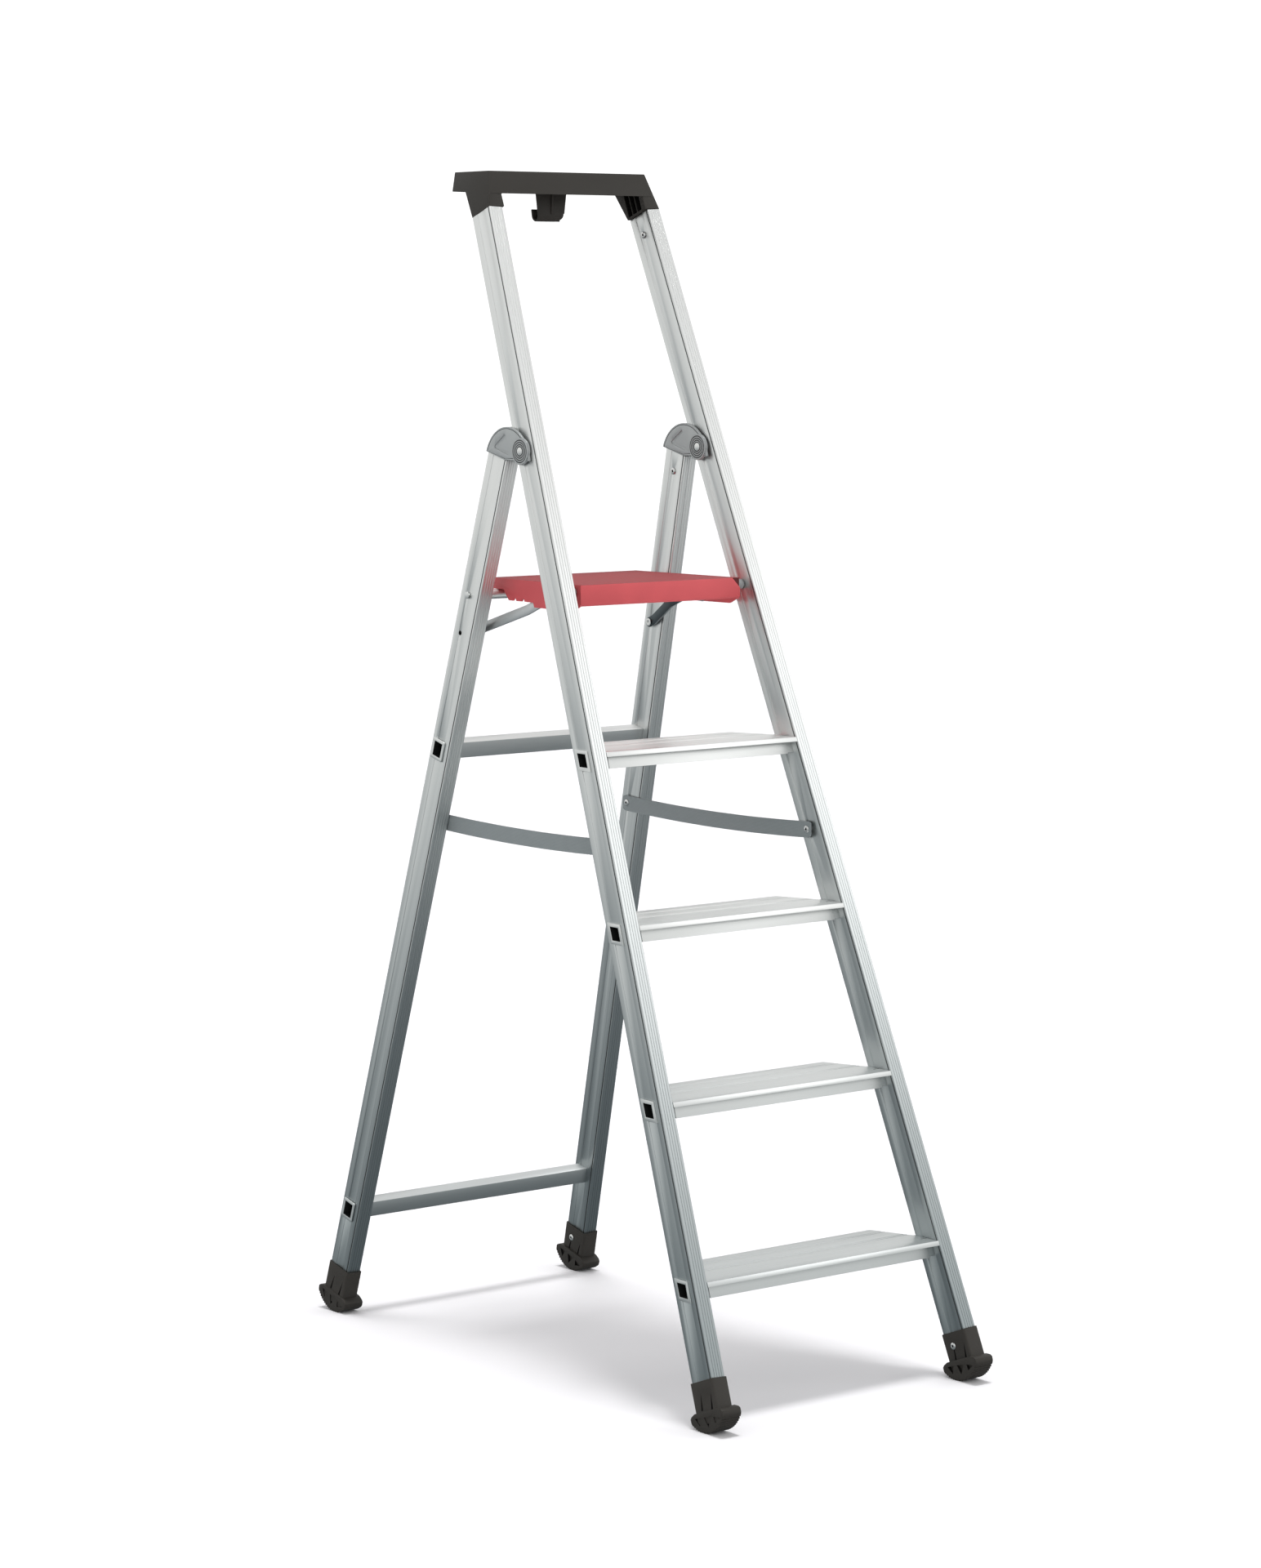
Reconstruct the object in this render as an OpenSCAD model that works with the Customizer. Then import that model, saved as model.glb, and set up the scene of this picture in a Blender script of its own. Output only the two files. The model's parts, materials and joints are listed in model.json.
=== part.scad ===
// Folding step ladder: four treads, a hinged standing platform and a guard
// frame with a tool tray. The floor is z = 0, the user climbs towards +Y and
// the origin lies on the floor in the middle of the ladder's footprint.

/* [Heights] */
// Height of the lowest tread above the floor
first_tread_height = 202; // [180:1:245]
// Rise from one tread to the next
tread_rise = 240; // [200:1:290]
// Rise from the highest tread to the platform
platform_rise = 233.5; // [200:1:285]
// Rise from the platform to the fold hinge
hinge_rise = 192.3; // [180:1:235]
// Rise from the platform to the top of the tool tray
guard_rise = 602.5; // [500:1:725]

/* [Stance] */
// Width over the stiles at the fold hinge
hinge_width = 358; // [298:1:430]
// Lean of the front frame from upright, in degrees
front_lean = 21.2; // [19:0.1:23]
// Lean of the rear frame from upright, in degrees
rear_lean = 14.8; // [13:0.1:17]
// Angle by which the front stiles spread towards the floor
front_splay = 2.89; // [1.5:0.01:3.5]
// Angle by which the rear legs spread towards the floor
rear_splay = 2.79; // [1.4:0.01:3.4]

/* [Rails] */
// Width of a stile or leg across the ladder
rail_w = 23.5; // [20:0.5:28]
// Depth of a stile or leg
rail_d = 47; // [39:0.5:57]
// Wall of a stile or leg
rail_wall = 1.8; // [1.5:0.1:2.5]
// Outer corner radius of a stile or leg
rail_r = 1.6; // [1:0.1:2.4]

/* [Treads] */
// Depth of a tread from nose to rear edge
tread_depth = 118; // [98:1:120]
// How far each rear corner of a tread is drawn in
tread_taper = 26; // [10:1:32]
// Thickness of a tread's plate
tread_plate = 3; // [2.5:0.1:4]
// Height of a tread's nose
nose_h = 6.8; // [5:0.1:9]
// Height of a tread's rear lip
tread_lip_h = 11; // [8:0.5:13]
// Distance from the nose to the beam under a tread
beam_setback = 15.5; // [12:0.5:20]
// Depth and height of the beam under a tread
beam_size = 25; // [20:0.5:28]
// Depth and height of the tube through the stiles
tube_size = 22; // [17:0.5:24]
// Wall of the tube through the stiles
tube_wall = 1.5; // [1.2:0.1:2]
// Width of the flared rim round a tube's end
rim_w = 3.6; // [2.5:0.1:5]

/* [Platform] */
// Depth of the platform from lip to rear edge
platform_depth = 235; // [195:1:250]
// Gap between each side of the platform and the stile, at the pivot
platform_gap_front = 16.5; // [14.5:0.1:40]
// Gap between each rear corner of the platform and the leg
platform_gap_rear = 29.2; // [26:0.1:50]
// Thickness of the platform's top and skirts
platform_wall = 3; // [2.5:0.1:4]
// Distance of the platform's lip behind the stiles' front
lip_inset = 6.8; // [4:0.1:10]
// Height of the platform's front lip
platform_lip_h = 31; // [27:0.5:36]
// Height of the platform's side skirts near the front
skirt_h = 39; // [36:0.5:42]
// Distance of the platform's pivot behind its lip
pivot_back = 17; // [14:0.5:20]
// Distance of the platform's pivot under its top
pivot_down = 11; // [10:0.5:13]

/* [Fold linkage] */
// Distance of the hinge pin behind the front flange
hinge_inset = 30.8; // [28:0.1:34]
// Distance from the hinge pin to the rear leg's front face
hinge_offset = 33.8; // [33:0.1:40]
// Distance of the strut's lower pin below the hinge, along the leg
strut_drop = 300; // [290:1:320]
// Distance of the strut's lower pin behind the leg's front face
strut_inset = 30.5; // [26:0.5:34]
// Distance of the strut's upper pin behind the platform's pivot
guide_back = 80.5; // [76:0.5:86]
// Distance of the strut's upper pin under the platform's pivot
guide_down = 13; // [10:0.5:14]
// Width of a strut
strut_w = 15; // [12:0.5:18]
// Thickness of a strut
strut_t = 3; // [2.5:0.1:4]
// Radius of the hinge pins and the platform's pins
pin_r = 4; // [3:0.1:5]
// Radial clearance of a running pin
running_gap = 0.05; // [0.02:0.01:0.1]
// Gap between parts that fold past each other
fold_gap = 0.5; // [0.3:0.1:1]

/* [Feet, straps and tray] */
// Radius of the rounded sole
sole_r = 47; // [42:0.5:56]
// Half length of a foot
foot_half = 37; // [34:0.5:44]
// Width of a foot's sole
sole_w = 33; // [29:0.5:38]
// Height of a foot's pad
pad_h = 27; // [22:0.5:32]
// Height of a whole foot
foot_h = 73; // [60:1:88]
// Wall of a foot's socket
socket_wall = 2.2; // [1.5:0.1:3]
// Width of a strap
strap_w = 24.5; // [20:0.5:30]
// Thickness of a strap
strap_t = 1.4; // [1:0.1:2]
// Sag of a strap at its middle
strap_sag = 6; // [2:0.5:12]
// Height of the straps above the third tread
strap_rise = 105; // [80:1:115]
// Depth of the tool tray from front to rear
tray_depth = 96; // [80:1:115]
// Height of the tool tray
tray_h = 29; // [24:0.5:35]
// Inward slope of the tray's ends from the stiles, in degrees
tray_slope = 13; // [8:0.5:16]
// Height of the tray's grip over the ends of the stiles
tray_cap_h = 52.5; // [46:0.5:60]
// Width of the bucket hook
hook_w = 56; // [45:1:70]
// Height of the bucket hook
hook_h = 41; // [34:0.5:50]

/* [Hidden] */
$fn = 48;

TREADS = 4;
SIDES = [-1, 1];
EPS = 0.01;
seat_gap = 0.15;      // between fixed pieces that fit into each other
big = 1000;           // longer than any width or depth of the ladder

// Heights above the floor
function tread_z(i) = first_tread_height + (i - 1) * tread_rise;
platform_z = tread_z(TREADS) + platform_rise;
hinge_z = platform_z + hinge_rise;
tray_z = platform_z + guard_rise;

// Distances from the floor along each frame's own plane
hinge_s = hinge_z / cos(front_lean) + hinge_inset * tan(front_lean);
rear_hinge_s = hinge_z / cos(rear_lean) + hinge_offset * tan(rear_lean);
stile_top_s = (tray_z - tray_cap_h) / cos(front_lean);

// Half widths over the rails, at a distance s along each frame
function front_half(s) = hinge_width / 2 + (hinge_s - s) * tan(front_splay);
function rear_half(s) = hinge_width / 2 + (rear_hinge_s - s) * tan(rear_splay);
function half_at(rear, s) = rear ? rear_half(s) : front_half(s);

// Half widths between the rails' inner webs
function stile_inner(s) = front_half(s) - rail_w / cos(front_splay);
function leg_inner(s) = rear_half(s) - rail_w / cos(rear_splay);

// Fold: the rear frame closes until it is parallel to the front frame
fold_angle = front_lean + rear_lean;
deck_fold = 90 - front_lean;

// Footprint: a foot reaches this far from the middle of its rounded sole
toe_r = 9;
toe_side = foot_half - toe_r;
toe_drop = sqrt(pow(sole_r - toe_r, 2) - pow(toe_side, 2));
function foot_reach(lean) = toe_side * cos(lean) + toe_drop * sin(lean) + toe_r;
front_sole_y = sole_r * tan(front_lean) + rail_d / 2 / cos(front_lean);
rear_sole_y = rail_d / 2 / cos(rear_lean) - sole_r * tan(rear_lean);
stance = hinge_z * (tan(front_lean) + tan(rear_lean))
  + hinge_inset / cos(front_lean) + hinge_offset / cos(rear_lean);
front_y = -(front_sole_y - foot_reach(front_lean)
  + stance + rear_sole_y + foot_reach(rear_lean)) / 2;
rear_y = front_y + stance;

// Front face of the front frame at a height z
function front_face_y(z) = front_y + z * tan(front_lean);

// Points of the linkage, as [y, z]
hinge_at = [front_face_y(hinge_z) + hinge_inset / cos(front_lean), hinge_z];
lip_y = front_face_y(platform_z) + lip_inset;
pivot_at = [lip_y + pivot_back, platform_z - pivot_down];
strut_s = rear_hinge_s - strut_drop;
strut_at = [
  rear_y + strut_inset * cos(rear_lean) - strut_s * sin(rear_lean),
  strut_inset * sin(rear_lean) + strut_s * cos(rear_lean)
];
guide_at = [pivot_at[0] + guide_back, pivot_at[1] - guide_down];

// ---- Places -------------------------------------------------------------

// The plane of each frame: local Z runs up the frame, local Y to its back
module in_front() translate([0, front_y, 0]) rotate([-front_lean, 0, 0]) children();
module in_rear() translate([0, rear_y, 0]) rotate([rear_lean, 0, 0]) children();

// A point on the outer web of a stile or leg, with Z along that rail
module on_stile(side, s, v = 0)
  in_front() translate([side * front_half(s), v, s]) rotate([0, -side * front_splay, 0])
    children();
module on_leg(side, s, v = 0)
  in_rear() translate([side * rear_half(s), v, s]) rotate([0, -side * rear_splay, 0])
    children();

// The same, in the rear frame if rear is true and in the front frame if not
module in_plane(rear) if (rear) in_rear() children(); else in_front() children();
module on_rail(rear, side, s, v = 0)
  if (rear) on_leg(side, s, v) children(); else on_stile(side, s, v) children();

// A [y, z] outline made into a plate of thickness t, from x = 0 towards +X
module plate(t) rotate([90, 0, 90]) linear_extrude(t) children();

// A cylinder along X, centred on a [y, z] point, from x0 to x1
module pin_x(at, r, x0, x1)
  translate([min(x0, x1), at[0], at[1]]) rotate([0, 90, 0]) cylinder(r = r, h = abs(x1 - x0));

// ---- Shared sections ----------------------------------------------------

module round_rect(w, h, r) {
  square([w - 2 * r, h], center = true);
  square([w, h - 2 * r], center = true);
  for (x = [-1, 1], y = [-1, 1])
    translate([x * (w / 2 - r), y * (h / 2 - r)]) circle(r);
}

// A box rail with its grooves, centred across and with its front at y = 0
flange_groove = [1.2, 0.4];   // width and depth of the front flange's lines
web_groove = [2.2, 0.8];      // width and depth of the line beside a flange
web_band = [19, 0.5];         // width and depth of a web's hollow band
module rail_section() {
  difference() {
    translate([0, rail_d / 2]) round_rect(rail_w, rail_d, rail_r);
    translate([0, rail_d / 2])
      square([rail_w - 2 * rail_wall, rail_d - 2 * rail_wall], center = true);
    for (k = [-1.5, -0.5, 0.5, 1.5])
      translate([k * rail_w / 5.5 - flange_groove[0] / 2, -EPS])
        square([flange_groove[0], flange_groove[1] + EPS]);
    for (side = SIDES) {
      translate([side * rail_w / 2 - web_groove[1], 2.6])
        square([2 * web_groove[1], web_groove[0]]);
      translate([side * rail_w / 2 - web_band[1], (rail_d - web_band[0]) / 2])
        square([2 * web_band[1], web_band[0]]);
    }
  }
}

// A slanted box section: level top and bottom, sides along the front frame
module slanted(w, h) {
  k = h / 2 * tan(front_lean);
  polygon([[-w / 2 - k, -h / 2], [w / 2 - k, -h / 2], [w / 2 + k, h / 2], [-w / 2 + k, h / 2]]);
}

// ---- Rivets -------------------------------------------------------------

rivet_r = 2.4;
rivet_head_r = 5.2;
rivet_head_h = 1.4;

// A hollow rivet along +X: its head's seat is at x = 0, its shank runs to -X
module rivet(grip) rotate([0, 90, 0]) difference() {
  union() {
    cylinder(r = rivet_head_r, h = rivet_head_h);
    translate([0, 0, -grip]) cylinder(r = rivet_r, h = grip + EPS);
  }
  translate([0, 0, rivet_head_h - 1]) cylinder(r = 1.6, h = 2);
}

// The hole for a rivet in the inner web of a rail
module rivet_hole(side) translate([-side * rail_w, 0, 0]) rotate([0, 90, 0])
  cylinder(r = rivet_r + running_gap, h = 6 * rail_wall, center = true);

// A rivet whose head lies at a distance off the inner web of a rail
module web_rivet(side, off, grip)
  translate([-side * (rail_w + off), 0, 0]) rotate([0, 0, side > 0 ? 180 : 0]) rivet(grip);

// ---- Front frame --------------------------------------------------------

sole_s_front = (sole_r + rail_d / 2 * sin(front_lean)) / cos(front_lean);
sole_s_rear = (sole_r - rail_d / 2 * sin(rear_lean)) / cos(rear_lean);
rail_in_foot = 20;            // a rail ends this far above its foot's sole
front_foot_top = sole_s_front - sole_r + foot_h;
rear_foot_top = sole_s_rear - sole_r + foot_h;

// Middle of a tread's beam and of its tube, as [y, z]
function tube_at(i) = [
  front_face_y(tread_z(i)) + beam_setback + beam_size / 2 - beam_size / 2 * tan(front_lean),
  tread_z(i) - beam_size / 2
];

// Places of the rivets, as [distance along the frame, distance from its front]
foot_rivet_up = 20;           // below the top of a foot's socket
tray_rivet = [stile_top_s - 31, rail_d / 2 + 1.8];
strap_z = tread_z(3) + strap_rise;
strap_inset = 29.5;           // the straps' rivets, behind the front of each rail
front_strap_rivet = [strap_z / cos(front_lean) + strap_inset * tan(front_lean), strap_inset];
rear_strap_rivet = [strap_z / cos(rear_lean) - strap_inset * tan(rear_lean), strap_inset];
front_foot_rivet = [front_foot_top - foot_rivet_up, rail_d / 2 + 6];
rear_foot_rivet = [rear_foot_top - foot_rivet_up, rail_d / 2 + 6];
hinge_rivet = [rear_hinge_s - 54, rail_d / 2];

module stile(side) color([0.80, 0.81, 0.79]) difference() {
  s0 = sole_s_front - sole_r + rail_in_foot;
  on_stile(side, s0) translate([-side * rail_w / 2, 0, 0])
    linear_extrude((stile_top_s - s0) / cos(front_splay)) rail_section();
  for (i = [1:TREADS])
    translate([side * hinge_width / 2 - big / 2, tube_at(i)[0], tube_at(i)[1]])
      plate(big) slanted(tube_size + 2 * seat_gap, tube_size + 2 * seat_gap);
  pin_x(hinge_at, pin_r + running_gap, side * big / 2, 0);
  pin_x(pivot_at, pin_r + running_gap, side * (pivot_inner + 5), 0);
  for (at = [tray_rivet, front_strap_rivet, front_foot_rivet])
    on_stile(side, at[0], at[1]) rivet_hole(side);
}

// Everything between two lines at a distance out from the outer webs
module web_to_web(rear, out, v0 = -big / 2, v1 = big / 2) {
  top = rear ? rear_hinge_s : stile_top_s;
  in_plane(rear) translate([0, v1, 0]) rotate([90, 0, 0]) linear_extrude(v1 - v0)
    polygon([for (c = [[-1, 0], [1, 0], [1, top], [-1, top]])
      [c[0] * (half_at(rear, c[1]) + out), c[1]]]);
}

// The room between the two stiles, narrower by a gap on each side
module between_stiles(v0, v1, gap)
  web_to_web(false, -rail_w / cos(front_splay) - gap, v0, v1);

// Two thin slabs just outside the outer webs, where the tubes' rims lie
rim_t = 2;
rim_gap = 0.1;
tube_proud = 0.4;             // a tube's end stands this far out of its web
module rim_room(rear) difference() {
  web_to_web(rear, rim_t);
  web_to_web(rear, rim_gap, -big, big);
}

beam_end_gap = 12;            // the beam stops this far from each stile
rear_end_gap = 4.5;           // the tread's rear clears the folding legs
rear_frame_v = rail_d + 3;    // the rear frame folds to here, behind the front flange
nose_t = 3;
tread_lip_t = 2.2;
groove_pairs = 3;
tread_groove = [1.6, 0.7];    // width and depth of a tread's line
first_groove = beam_setback + 12;
last_groove = tread_depth - 22.5;

// Outline of a tread's plate, from the nose's top edge
module tread_plate_section() {
  k = tan(front_lean);
  difference() {
    polygon([
      [0, 0], [tread_depth, 0], [tread_depth, -tread_lip_h],
      [tread_depth - tread_lip_t, -tread_lip_h], [tread_depth - tread_lip_t, -tread_plate],
      [nose_t - nose_h * k, -tread_plate], [nose_t - nose_h * k, -nose_h], [-nose_h * k, -nose_h]
    ]);
    for (j = [0:groove_pairs - 1], e = [-1, 1])
      translate([first_groove + j * (last_groove - first_groove) / (groove_pairs - 1) + e * 3, 0])
        square([tread_groove[0], 2 * tread_groove[1]], center = true);
  }
}

module beam_section() translate([
  beam_setback + beam_size / 2 - beam_size / 2 * tan(front_lean), -beam_size / 2
]) slanted(beam_size, beam_size);

// Plan of a tread from its front edge: its ends draw in behind the stiles
module tread_plan(half) polygon([for (side = [1, -1], i = side > 0 ? [0:3] : [3:-1:0])
  let (to = [
    [half + 20, -rail_d], [half + 20, rail_d + 4], [half - rear_end_gap, rail_d + 4],
    [half - rear_end_gap - tread_taper, tread_depth + 1]
  ][i]) [side * to[0], to[1]]]);

module tread(i) color([0.78, 0.79, 0.77]) {
  z = tread_z(i);
  y = front_face_y(z);
  at = tube_at(i);
  difference() {
    union() {
      intersection() {
        translate([-big / 2, y, z]) plate(big) tread_plate_section();
        translate([0, y, z - big / 2]) linear_extrude(big)
          tread_plan(stile_inner(z / cos(front_lean)));
        union() {
          between_stiles(-rail_d, rear_frame_v + 1, seat_gap);
          between_stiles(rear_frame_v, 2 * tread_depth, rear_end_gap);
        }
      }
      intersection() {
        translate([-big / 2, y, z]) plate(big) beam_section();
        between_stiles(-rail_d, rear_frame_v, beam_end_gap);
      }
      intersection() {
        translate([-big / 2, at[0], at[1]]) plate(big) slanted(tube_size, tube_size);
        web_to_web(false, tube_proud);
      }
      intersection() {
        translate([-big / 2, at[0], at[1]]) plate(big)
          slanted(tube_size + 2 * rim_w, tube_size + 2 * rim_w);
        rim_room(false);
      }
    }
    translate([-big / 2, at[0], at[1]]) plate(big)
      slanted(tube_size - 2 * tube_wall, tube_size - 2 * tube_wall);
  }
}

// ---- Tool tray and hook -------------------------------------------------

tray_y = front_face_y(tray_z);
tray_bar_h = 33.5;            // height of the tray's front bar
tray_wall = 3;
plug_l = 46;                  // the tray's plugs run this far into the stiles
cap_flare = 33;               // the caps widen this far behind the stiles

module tray_body_section() polygon([
  [-tray_bar_h * tan(front_lean), -tray_bar_h], [0, 0],
  [tray_depth, 0], [tray_depth - 2, -tray_h]
]);

// The cap over a stile's end: square to the stile below, flaring to the tray
module tray_cap_section() {
  k = tan(front_lean);
  cut = [rail_d * cos(front_lean), -rail_d * sin(front_lean)];
  low = [-tray_cap_h * k, -tray_cap_h];
  polygon([low, [0, 0], [tray_depth, 0], [tray_depth - 2, -tray_h],
    [low[0] + cut[0] + cap_flare, -tray_h - 1], low + cut]);
}

// A front view outline of the tray's ends, in the front frame's plane
module tray_ends(inner) in_front() translate([0, 2 * tray_depth, 0]) rotate([90, 0, 0])
  linear_extrude(3 * tray_depth) {
    top = tray_z / cos(front_lean) + 60;
    for (side = SIDES) {
      edge = front_half(stile_top_s);
      polygon([
        [side * edge, stile_top_s], [side * (edge - (top - stile_top_s) * tan(tray_slope)), top],
        [inner * side, top], [inner * side, stile_top_s - 60], [side * edge, stile_top_s - 60]
      ]);
    }
  }

well_floor = 24;              // depth of the tray's well
well_front = 11;              // thickness of the tray's front bar
well_half = 116;
module tool_tray() color([0.16, 0.155, 0.15]) {
  difference() {
    union() {
      intersection() {
        translate([-big / 2, tray_y, tray_z]) plate(big) tray_body_section();
        tray_ends(0);
      }
      intersection() {
        translate([-big / 2, tray_y, tray_z]) plate(big) tray_cap_section();
        tray_ends(front_half(stile_top_s) - rail_w - 4);
      }
    }
    translate([-well_half, tray_y + well_front, tray_z - well_floor])
      cube([2 * well_half, tray_depth - well_front - 2 * tray_wall, well_floor + 1]);
  }
  for (side = SIDES) difference() {
    on_stile(side, stile_top_s - plug_l) translate([-side * rail_w / 2, rail_d / 2, 0])
      linear_extrude(plug_l + 1)
        round_rect(rail_w - 2 * rail_wall - 2 * seat_gap, rail_d - 2 * rail_wall - 2 * seat_gap, 1);
    on_stile(side, tray_rivet[0], tray_rivet[1]) rivet_hole(side);
  }
}

module tray_rivets() color([0.75, 0.75, 0.74])
  for (side = SIDES) on_stile(side, tray_rivet[0], tray_rivet[1]) web_rivet(side, 0.05, 5);

hook_t = 3;
hook_bend_r = 6;              // inner radius of the hook's bend
hook_lip = 14;                // height of the hook's lip above its bend
hook_back = 40;               // distance of the hook behind the tray's front
hook_gap = 0.1;
hook_y = tray_y + hook_back;
under_front_y = tray_y - tray_bar_h * tan(front_lean);
under_slope = (tray_bar_h - tray_h) / (tray_y + tray_depth - 2 - under_front_y);
hook_top = tray_z - tray_bar_h + (hook_y - 4 - under_front_y) * under_slope - hook_gap;
module bucket_hook() color([0.14, 0.135, 0.13]) {
  bend = [hook_bend_r + hook_t, -hook_h + hook_bend_r + hook_t];
  intersection() {
    translate([-hook_w / 2, hook_y, hook_top]) plate(hook_w) {
      translate([0, bend[1]]) square([hook_t, -bend[1]]);
      translate(bend) difference() {
        circle(hook_bend_r + hook_t);
        circle(hook_bend_r);
        translate([-big / 2, 0]) square([big, big]);
      }
      translate([bend[0] + hook_bend_r, bend[1]]) square([hook_t, hook_lip - hook_bend_r]);
    }
    translate([0, hook_y + big / 2, hook_top]) rotate([90, 0, 0]) linear_extrude(big)
      polygon([[-hook_w / 2, 0], [hook_w / 2, 0], [hook_w / 2 - 5, -hook_h - 1],
        [-hook_w / 2 + 5, -hook_h - 1]]);
  }
  intersection() {
    translate([-2.5, hook_y, hook_top]) plate(5)
      polygon([[EPS, 0], [-4, 0], [-2, -hook_h + 8], [EPS, -hook_h + 4]]);
    translate([-big / 2, hook_y - 10, hook_top - hook_h]) cube([big, 20, hook_h]);
  }
}

// ---- Feet ---------------------------------------------------------------

function arc(at, r, a0, a1, n) =
  [for (j = [0:n]) let (a = a0 + (a1 - a0) * j / n) at + r * [cos(a), sin(a)]];
toe_angle = acos(toe_side / (sole_r - toe_r));
foot_points = concat(
  arc([-toe_side, -toe_drop], toe_r, 180, 180 + toe_angle, 4),
  arc([0, 0], sole_r, 180 + toe_angle, 360 - toe_angle, 16),
  arc([toe_side, -toe_drop], toe_r, 360 - toe_angle, 360, 4),
  [[foot_half, pad_h - sole_r], [rail_d / 2 + socket_wall, pad_h - sole_r + 4],
   [-rail_d / 2 - socket_wall, pad_h - sole_r + 4], [-foot_half, pad_h - sole_r]]
);

// A foot round the lower end of a stile, or of a leg if rear is true
module foot(rear, side) color([0.17, 0.16, 0.15]) {
  s = rear ? sole_s_rear : sole_s_front;
  rivet_at = rear ? rear_foot_rivet : front_foot_rivet;
  sole_s = s - sole_r;
  difference() {
    union() {
      in_plane(rear) translate([side * (half_at(rear, s) - rail_w / 2) - sole_w / 2, rail_d / 2, s])
        plate(sole_w) polygon(foot_points);
      on_rail(rear, side, sole_s + pad_h / 2) translate([-side * rail_w / 2, rail_d / 2, 0])
        linear_extrude(foot_h - pad_h / 2)
          round_rect(rail_w + 2 * socket_wall, rail_d + 2 * socket_wall, rail_r + socket_wall);
    }
    on_rail(rear, side, sole_s + rail_in_foot - seat_gap)
      translate([-side * rail_w / 2, rail_d / 2, 0]) linear_extrude(foot_h)
        round_rect(rail_w + 2 * seat_gap, rail_d + 2 * seat_gap, rail_r + seat_gap);
    on_rail(rear, side, rivet_at[0], rivet_at[1]) rivet_hole(side);
  }
}
module foot_rivets(rear) color([0.75, 0.75, 0.74]) for (side = SIDES) {
  at = rear ? rear_foot_rivet : front_foot_rivet;
  on_rail(rear, side, at[0], at[1]) web_rivet(side, socket_wall + 2 * seat_gap, 8);
}

// ---- Hinge --------------------------------------------------------------

cheek_r = 20;                 // radius of a hinge cheek round its pin
cheek_t = 3.5;
leg_cap_drop = 23;            // the leg ends this far below the pin, along itself
hinge_tongue = 44;            // the hinge's tongue runs this far into the leg
hinge_root = 8;               // and this far up into the hinge's body

// The cheeks pass both webs at every angle, although the stiles splay
hinge_reach = 0.81 * rail_d;   // the cheeks cross the stile up to this far above the pin
cheek_out = hinge_width / 2 + cheek_r * tan(front_splay) + fold_gap;
cheek_in = hinge_width / 2 - rail_w / cos(front_splay) - hinge_reach * tan(front_splay) - fold_gap;

// The leg's end, from the pin: its corners at the front and at the back
function leg_end(v) = [
  v * cos(rear_lean) + leg_cap_drop * sin(rear_lean),
  v * sin(rear_lean) - leg_cap_drop * cos(rear_lean)
];
leg_end_front = leg_end(hinge_offset);
leg_end_back = leg_end(hinge_offset + rail_d);

// Side view of a hinge, from its pin: a disc round the pin, and a dome that
// runs over to the leg's back corner and ends at the leg's end
module hinge_outline() {
  dome_at = [0.39 * leg_end_back[0], 4 - leg_cap_drop];
  circle(cheek_r);
  difference() {
    translate(dome_at) circle(norm(leg_end_back - dome_at), $fn = 96);
    polygon([
      [-big, leg_end_front[1]], leg_end_front, leg_end_back, leg_end_back + [big, 0],
      [big, -big], [-big, -big]
    ]);
  }
}

// The room for the stile, at rest and when folded
module stile_sweep() for (turn = [0, fold_angle])
  translate([0, hinge_at[0], hinge_at[1]]) rotate([turn - front_lean, 0, 0])
    translate([cheek_in, -big, -big / 2])
      cube([cheek_out - cheek_in, big + rail_d - hinge_inset + fold_gap, big]);

module hinge(side) color([0.62, 0.64, 0.64]) mirror([side < 0 ? 1 : 0, 0, 0]) {
  difference() {
    translate([cheek_in - cheek_t, hinge_at[0], hinge_at[1]])
      plate(cheek_out - cheek_in + 2 * cheek_t) hinge_outline();
    stile_sweep();
    pin_x(hinge_at, pin_r + running_gap, 0, big);
  }
  difference() {
    on_leg(1, rear_hinge_s - leg_cap_drop - hinge_tongue) translate([-rail_w / 2, rail_d / 2, 0])
      linear_extrude(hinge_tongue + hinge_root)
        round_rect(rail_w - 2 * rail_wall - 2 * seat_gap, rail_d - 2 * rail_wall - 2 * seat_gap, 1);
    on_leg(1, hinge_rivet[0], hinge_rivet[1]) rivet_hole(1);
  }
}
module hinge_rivets() color([0.75, 0.75, 0.74]) for (side = SIDES)
  on_leg(side, hinge_rivet[0], hinge_rivet[1]) web_rivet(side, 0.05, 5);

pin_head_r = 6;
pin_head_h = 1.4;
module hinge_pins() color([0.70, 0.70, 0.69]) for (side = SIDES) {
  x0 = cheek_in - cheek_t - 0.2;
  x1 = cheek_out + cheek_t + 0.2;
  pin_x(hinge_at, pin_r, side * (x0 - pin_head_h / 2), side * (x1 + pin_head_h / 2));
  pin_x(hinge_at, pin_head_r, side * (x0 - pin_head_h), side * x0);
  pin_x(hinge_at, pin_head_r, side * x1, side * (x1 + pin_head_h));
}

sleeve_wall = 2;
module hinge_sleeves() color([0.6, 0.6, 0.6]) for (side = SIDES) difference() {
  on_stile(side, hinge_s, hinge_inset) translate([-side * rail_w / 2, 0, 0]) rotate([0, 90, 0])
    cylinder(r = pin_r + sleeve_wall, h = rail_w - 2 * rail_wall - 2 * seat_gap - 1.2, center = true);
  pin_x(hinge_at, pin_r + running_gap, 0, side * big);
}

// ---- Rear frame ---------------------------------------------------------

bar_h = 24.6;                 // height of a crossbar, along the legs
bar_d = 22;                   // depth of a crossbar
bar_inset = 17;               // a crossbar lies this far behind the legs' front
upper_bar_up = -2;            // the folded bars' tops, above the treads' noses
lower_bar_up = 14;
rest_bar_r = 7.5;

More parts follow.
